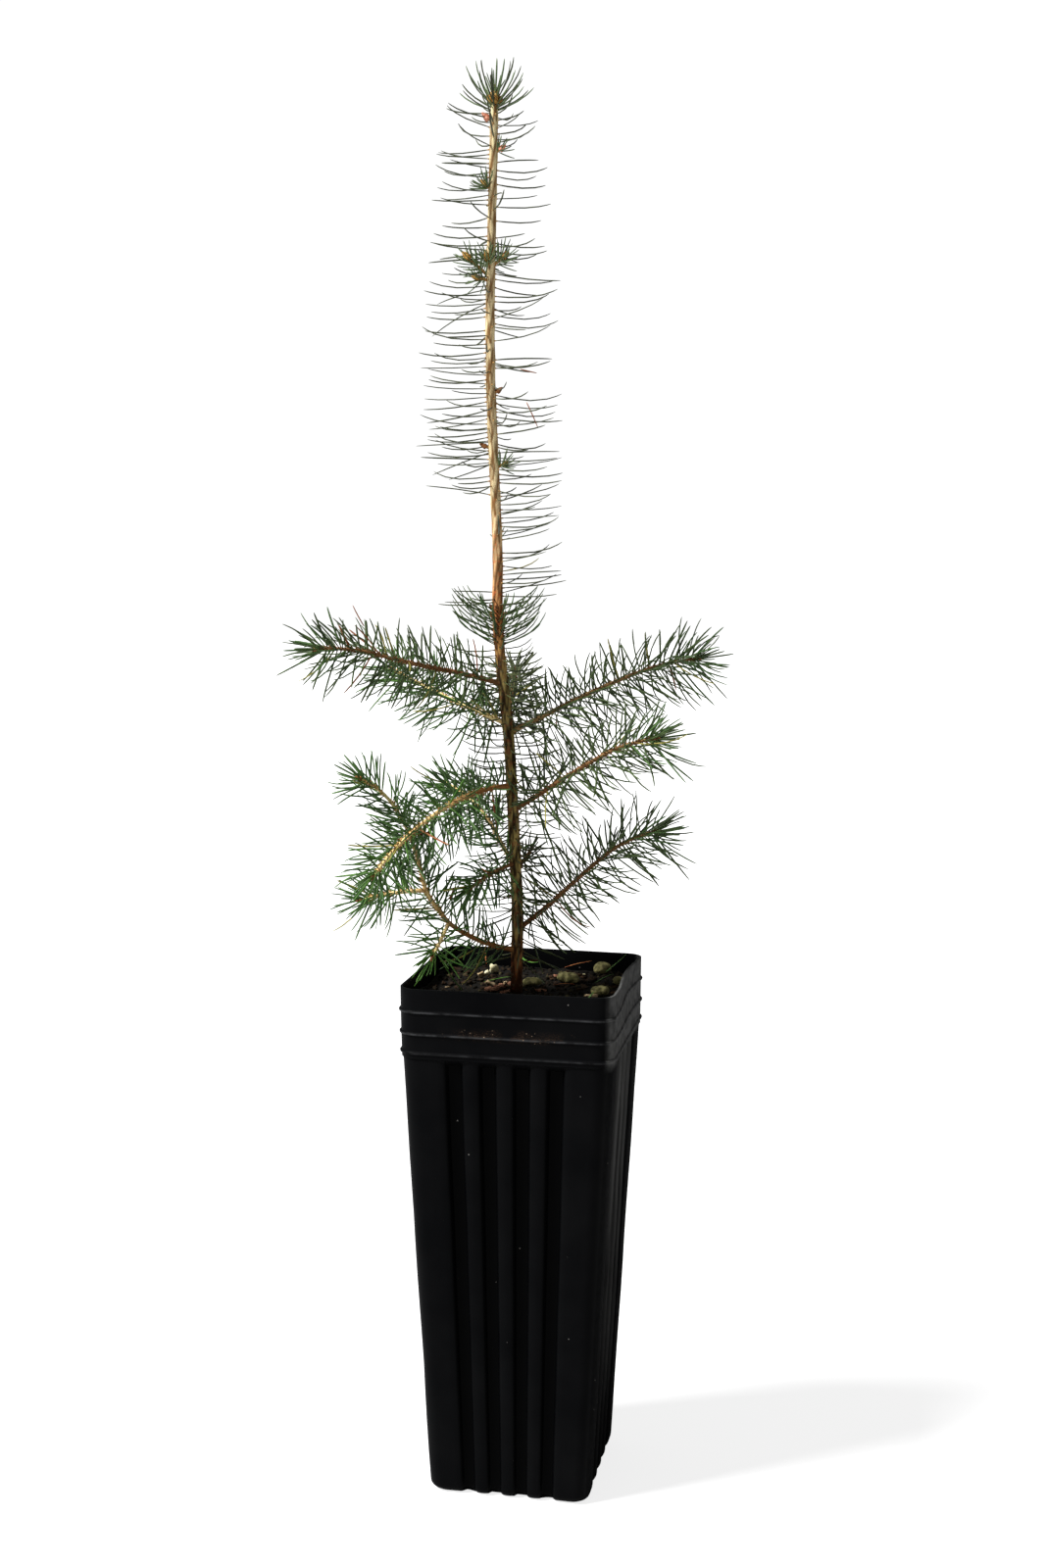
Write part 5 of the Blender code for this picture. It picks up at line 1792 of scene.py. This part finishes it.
# %% Model the bud
def model_scale():
    start_fresh()
    bpy.ops.mesh.primitive_plane_add(size=1)
    scale = rename(bpy.context.object, "scale_model")
    open_whole(scale)
    bpy.ops.mesh.subdivide(number_cuts=3)
    close_edit()
    places = corners_of(scale)
    for place in places:
        along = place[1] + 0.5
        width = math.sin(math.pi * (0.22 + 0.74 * along)) ** 0.8
        across = place[0] * width
        arched = 0.10 * math.sin(math.pi * along) - 0.16 * along ** 2
        place[:] = (across, -0.34 * across * across * 2 + arched, along)
    put_corners(scale, places)
    add_modifier(scale, "SOLIDIFY", thickness=0.05, offset=0)
    return scale


def model_core():
    start_fresh()
    bpy.ops.mesh.primitive_uv_sphere_add(segments=12, ring_count=8, radius=0.5)
    core = rename(bpy.context.object, "bud_core_model")
    places = corners_of(core)
    for place in places:
        along = place[2] + 0.5
        place[:2] *= 0.62 * (1 - 0.45 * along)
        place[2] = along
    put_corners(core, places)
    return core


SCALE_ROWS = ((0.02, 0.60, 0.10), (0.22, 0.52, 0.16), (0.42, 0.46, 0.26))   # start, size, lean
SCALES_IN_ROW = 5


def wrap_bud(place, heading, length, matrices):
    """Add one core, and three rows of scales round it, to the lists of places and turned sizes."""
    heading = unit(np.asarray(heading, float))
    turn = Vector(heading).to_track_quat("Z", "Y").to_matrix()
    matrices["core"].append((np.asarray(place), np.array(turn) * length))
    for row, (start, size, lean) in enumerate(SCALE_ROWS):
        for k in range(SCALES_IN_ROW):
            spin = Matrix.Rotation(math.tau * (k + 0.5 * row) / SCALES_IN_ROW, 3, "Z")
            tip_in = Matrix.Rotation(lean, 3, "X")
            radius = 0.27 * (1 - 0.45 * start)
            local = np.array(turn @ spin) @ np.array((0, radius, start)) * length
            turned = np.array(turn @ spin @ tip_in) * length * size
            matrices["scale"].append((np.asarray(place) + local, turned))


def copies_at(model, matrices):
    """A model, and the corners of its copies at these places and turned sizes."""
    shape = corners_of(model)
    return model, [shape @ turned.T + place for place, turned in matrices]


scale_model = model_scale()
core_model = model_core()
buds = {kind: {"core": [], "scale": []} for kind in ("brown", "golden", "red")}
print("faces in a scale:", len(scale_model.data.polygons))

# %% Buds and short shoots along the leader
KNOTS = (
    # height, azimuth, shoot length, rise, bud length, needles, needle length
    (0.6450, 196, 0.0012, 44, 0.0048, 0, 0.0),
    (0.6312, 2, 0.0018, 40, 0.0040, 10, 0.0075),
    (0.6150, 206, 0.0022, 48, 0.0040, 22, 0.0082),
    (0.5762, 198, 0.0110, 44, 0.0052, 28, 0.0094),
    (0.5805, 256, 0.0034, 60, 0.0046, 22, 0.0090),
    (0.5810, 4, 0.0050, 46, 0.0046, 26, 0.0096),
    (0.5742, 222, 0.0050, 10, 0.0040, 16, 0.0082),
    (0.5800, 100, 0.0042, 42, 0.0040, 20, 0.0088),
    (0.5235, 2, 0.0012, 40, 0.0036, 0, 0.0),
    (0.4985, 198, 0.0016, 24, 0.0036, 0, 0.0),
    (0.4895, 0, 0.0030, 34, 0.0030, 18, 0.0076),
    (0.4560, 92, 0.0014, 40, 0.0030, 8, 0.0070),
)
SHOOT_RADIUS = 0.00075
TOP_BUDS = 4
WHORL_BUDS = 7


def grow_knot(knot, rng):
    """A side bud on a short stalk, with its ring of small needles."""
    height, azimuth, length, rise, bud_length, count, reach = knot
    outward = level_ray(math.radians(azimuth))
    start = on_axis(height)
    heading = rise_toward(outward, rise)
    radius = float(read_profile(TRUNK_RADIUS, height))
    tip = start + outward * radius + heading * length
    kind = "red" if height > 0.62 else ("golden" if count else "brown")
    wrap_bud(tip - heading * 0.0006, heading, bud_length, buds[kind])
    side = unit(np.cross(heading, UP))
    over = np.cross(side, heading)
    for i in range(count):
        ray = spread(side, over, GOLDEN_TURN * i)
        lean = math.radians(24 + 50 * (i / count) + rng.uniform(-7, 7))
        direction = unit(spread(heading, ray, lean))
        end = unit(direction + UP * 0.25)
        root = tip - heading * (0.0002 + (length * 0.8) * (i / count)) + ray * 0.0006
        plant_needle("stem", "young", root, direction, direction, end,
                     reach * rng.uniform(0.8, 1.1), THIN)
    line = np.linspace(start + outward * radius * 0.5, tip, 6)
    return Shoot("knot", line, np.full(6, SHOOT_RADIUS))


knot_shoots = [grow_knot(knot, rng) for knot in KNOTS]
wrap_bud(stem.points[-1] - UP * 0.0034, UP, 0.0066, buds["golden"])
for k in range(TOP_BUDS):
    outward = level_ray(math.tau * k / TOP_BUDS + 0.4)
    wrap_bud(stem.points[-1] + outward * 0.0014 - UP * 0.0052, rise_toward(outward, 58), 0.0044,
             buds["golden"])
for k in range(WHORL_BUDS):
    outward = level_ray(math.tau * k / WHORL_BUDS + 0.3)
    foot = on_axis(0.4205 + 0.0035 * (k % 2)) + outward * 0.0023
    wrap_bud(foot, rise_toward(outward, 52), 0.0032, buds["brown"])
for shoot in shoots:
    wrap_bud(shoot.points[-1] - shoot.tangents[-1] * 0.0008, shoot.tangents[-1], 0.0034,
             buds["brown"])
print("buds:", {kind: len(parts["core"]) for kind, parts in buds.items()})

# %% [markdown]
# The pegs under the needles are short woody stubs, and the stalks of the short shoots are plain
# tubes of the same bark. Both join the bark that they stand on in colour.

# %% Pegs and stalks
def model_peg():
    start_fresh()
    bpy.ops.mesh.primitive_cone_add(vertices=6, radius1=1.35, radius2=0.8, depth=1,
                                    location=(0, 0, 0.5))
    peg = rename(bpy.context.object, "peg_model")
    bpy.ops.object.transform_apply(location=True, rotation=True, scale=True)
    return peg


def lay_tube(name, points, radii, sides=8):
    """A plain round tube along a line."""
    plain = Shoot(name, points, radii)
    tube, places, ring = cut_cylinder(name, sides, len(points))
    outward = plain.across[ring] * places[:, :1] + plain.over[ring] * places[:, 1:2]
    put_corners(tube, plain.points[ring] + outward * plain.radii[ring][:, None])
    bpy.ops.object.shade_smooth()
    return tube


DEAD_TWIGS = (
    # start and end in metres, and radius at the foot, of the dry snags among the boughs
    ((-0.0360, -0.0460, 0.3230), (-0.0510, -0.0500, 0.3195), 0.00055),
    ((-0.0285, -0.0365, 0.2905), (-0.0262, -0.0385, 0.2965), 0.00050),
    ((-0.0035, -0.0135, 0.2890), (-0.0100, -0.0165, 0.2868), 0.00045),
    ((-0.0045, -0.0100, 0.2560), (0.0085, -0.0090, 0.2575), 0.00040),
)
SNAG_RINGS = 7
PEG_COLOURS = {"pale": ((0.36, 0.18, 0.06), (0.66, 0.42, 0.16)),
               "brown": ((0.090, 0.044, 0.018), (0.21, 0.115, 0.045))}
BARK_GRAIN = 340.0
BARK_ROUGHNESS = 0.8

peg_model = model_peg()
peg_pieces = [
    bend_needles("pegs_" + age, pegs[age], peg_model,
                 make_grainy("peg_" + age, dark, light, BARK_GRAIN, BARK_ROUGHNESS))
    for age, (dark, light) in PEG_COLOURS.items()]
stalks = [lay_tube(f"stalk_{i}", shoot.points, shoot.radii) for i, shoot in enumerate(knot_shoots)]
snags = [lay_tube(f"snag_{i}", np.linspace(start, end, SNAG_RINGS),
                  np.linspace(thick, thick * 0.4, SNAG_RINGS), 6)
         for i, (start, end, thick) in enumerate(DEAD_TWIGS)]
tube_pieces = []
for name, tubes, bark, dark, light in (
        ("short_shoot_stalks", stalks, "stalk_bark", (0.38, 0.18, 0.05), (0.56, 0.33, 0.11)),
        ("dry_snags", snags, "snag_bark", (0.10, 0.030, 0.015), (0.22, 0.068, 0.028))):
    tube_pieces.append(join(tubes, name))
    tube_pieces[-1].data.materials.append(
        make_grainy(bark, dark, light, BARK_GRAIN, BARK_ROUGHNESS))
for piece in peg_pieces + tube_pieces:
    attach(piece, "root")
print("pegs:", {age: len(rows) for age, rows in pegs.items()})

# %% Bud pieces
def make_bud_scales(kind, dark, light):
    material, tree, shader = start_material("bud_" + kind, Roughness=0.5, Specular_IOR_Level=0.35)
    tone = effect(tree, "blotches", scale=900.0, detail=4.0, low=0.35, high=0.65)
    tree.links.new(blend_colours(tree, dark, light, tone), shader.inputs["Base Color"])
    add_bump(tree, shader, effect(tree, "unevenness", scale=3000.0, detail=3.0), 0.3, 0.0001)
    return material


BUD_COLOURS = {"brown": ((0.16, 0.050, 0.018), (0.46, 0.190, 0.060)),
               "golden": ((0.30, 0.120, 0.020), (0.66, 0.380, 0.090)),
               "red": ((0.66, 0.190, 0.100), (0.95, 0.470, 0.310))}
for kind, (dark, light) in BUD_COLOURS.items():
    groups = (copies_at(core_model, buds[kind]["core"]),
              copies_at(scale_model, buds[kind]["scale"]))
    bud_piece = join_copies("buds_" + kind, groups, make_bud_scales(kind, dark, light))
    bud_piece.data.shade_smooth()
    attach(bud_piece, "root")
    print(bud_piece.name, len(bud_piece.data.polygons), "faces")

# %% [markdown]
# ## Tints of the needles
#
# The leader's needles are thin and grey-green, those on the boughs dark green, and the youngest
# are brighter. A few have yellowed or withered. Each spray is given one plain tint, which a faint
# mottling keeps from looking printed, and the foot of every needle is a little paler. Each tint is
# one piece, and stands for the solid masses of the boughs and stretches that mostly bear it.

# %% Needle materials and pieces
NEEDLE_TINTS = {
    "grey": ((0.046, 0.057, 0.029), (0.110, 0.125, 0.069)),
    "stem": ((0.038, 0.053, 0.020), (0.093, 0.113, 0.043)),
    "dark": ((0.037, 0.063, 0.020), (0.096, 0.145, 0.048)),
    "green": ((0.040, 0.094, 0.025), (0.110, 0.204, 0.062)),
    "fresh": ((0.044, 0.138, 0.019), (0.110, 0.230, 0.042)),
    "young": ((0.094, 0.150, 0.064), (0.205, 0.275, 0.130)),
    "yellow": ((0.26, 0.25, 0.050), (0.42, 0.36, 0.085)),
    "rust": ((0.30, 0.085, 0.035), (0.42, 0.17, 0.060)),
}


def masses_of(tint):
    """The solid masses of needles on the boughs that bear this tint."""
    return ["needles_" + name for name, facts in BOUGHS.items() if facts[-1] == tint]


NEEDLE_NODES = {
    "grey": [node for node in node_names
             if node.startswith("needles_leader") and node != "needles_leader_tuft"],
    "stem": [node for node in node_names if node.startswith("needles_stem")] + masses_of("stem"),
    "dark": masses_of("dark") + ["needles_whorl", "needles_leader_tuft"],
    "green": masses_of("green") + ["needles_left_low_rise", "needles_left_low_side"],
    "fresh": ["needles_left_low_hang"],
}


def make_needle(tint, dark, light):
    material, tree, shader = start_material("needle_" + tint, Roughness=0.45,
                                            Specular_IOR_Level=0.28)
    tone = effect(tree, "blotches", scale=150.0, detail=3.0, low=0.32, high=0.68)
    colour = blend_colours(tree, dark, light, tone)
    foot = ramp(tree, read_attribute(tree, "along"), 0.14, 0.0)
    paler = tuple(min(0.8, 2.1 * c + 0.02) for c in light)
    colour = blend_colours(tree, colour, paler, foot, 0.5)
    tree.links.new(colour, shader.inputs["Base Color"])
    return material


for tint in TINTS:
    piece = bend_needles("needles_" + tint, growth[tint], needle_model,
                         make_needle(tint, *NEEDLE_TINTS[tint]))
    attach(piece, "root")
    if tint in NEEDLE_NODES:
        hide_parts(*NEEDLE_NODES[tint])
    print(piece.name, len(piece.data.polygons), "faces")

# %% [markdown]
# ## Litter
#
# A few fallen blades of grass and old needles lie on the fill. Each is a short line, swept into a
# flat tapering blade.

# %% Litter on the fill
LITTER = {
    # tint: lines as (start, middle, end) in millimetres, and the half width
    "fresh": (((-11.2, 47.0, 246.5), (-7.4, 43.2, 243.6), (-2.1, 46.0, 244.4), 0.85),
              ((-21.0, 3.9, 242.6), (-15.0, 7.4, 244.0), (-9.1, 9.6, 244.6), 0.45)),
    "green": (((34.2, -20.1, 242.6), (35.2, -17.0, 243.6), (36.0, -13.9, 244.6), 0.40),
              ((32.0, 13.2, 242.6), (35.8, 20.0, 244.6), (39.2, 25.7, 244.6), 0.42),
              ((33.5, 38.0, 242.8), (38.0, 42.0, 246.0), (42.5, 46.2, 250.5), 0.40),
              ((-30.0, -28.0, 242.4), (-24.0, -26.0, 243.4), (-17.0, -28.0, 242.8), 0.40),
              ((20.0, -34.0, 242.4), (26.0, -31.0, 243.4), (31.0, -32.5, 242.8), 0.35)),
    "rust": (((11.8, 42.7, 243.0), (18.0, 46.5, 244.8), (25.0, 46.8, 246.0), 0.35),
             ((-28.0, 41.0, 243.2), (-28.4, 41.6, 246.0), (-28.9, 42.2, 248.6), 0.40),
             ((14.0, 4.0, 242.8), (19.0, 6.5, 243.8), (24.0, 5.0, 243.0), 0.30)),
}


BLADE_RINGS = 14
BLADE_FLATNESS = 0.35


def lay_blades(name, lines, material):
    """Flat tapering blades: round tubes pressed to a third of their width."""
    pieces = []
    for i, (start, middle, end, half) in enumerate(lines):
        start, middle, end = (np.array(place) / 1000 for place in (start, middle, end))
        t = np.linspace(0, 1, BLADE_RINGS)[:, None]
        points = start * (1 - t) ** 2 + middle * 2 * t * (1 - t) + end * t ** 2
        shape = np.sin(math.pi * np.clip(0.16 + 0.80 * t[:, 0], 0, 1)) ** 0.7
        blade = lay_tube(f"{name}_{i}", points, half / 1000 * np.maximum(shape, 0.12), 6)
        places = corners_of(blade)
        ring = np.array([int(np.argmin(np.linalg.norm(points - place, axis=1)))
                         for place in places])
        places[:, 2] = points[ring, 2] + (places[:, 2] - points[ring, 2]) * BLADE_FLATNESS
        put_corners(blade, places)
        pieces.append(blade)
    piece = join(pieces, name)
    piece.data.materials.append(material)
    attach(piece, "root")


for tint, lines in LITTER.items():
    dark, light = NEEDLE_TINTS[tint]
    brighter = tuple(1.7 * c for c in light)
    lay_blades("litter_" + tint, lines, make_grainy("blade_" + tint, dark, brighter, 500.0, 0.6))
print("blades:", sum(len(lines) for lines in LITTER.values()))
for model in (needle_model, peg_model, scale_model, core_model):
    bpy.data.objects.remove(model, do_unlink=True)

# %% [markdown]
# ## The size
#
# The dressed plant has to fill the same space as the solids.

# %% Sizes and finish
start_fresh()
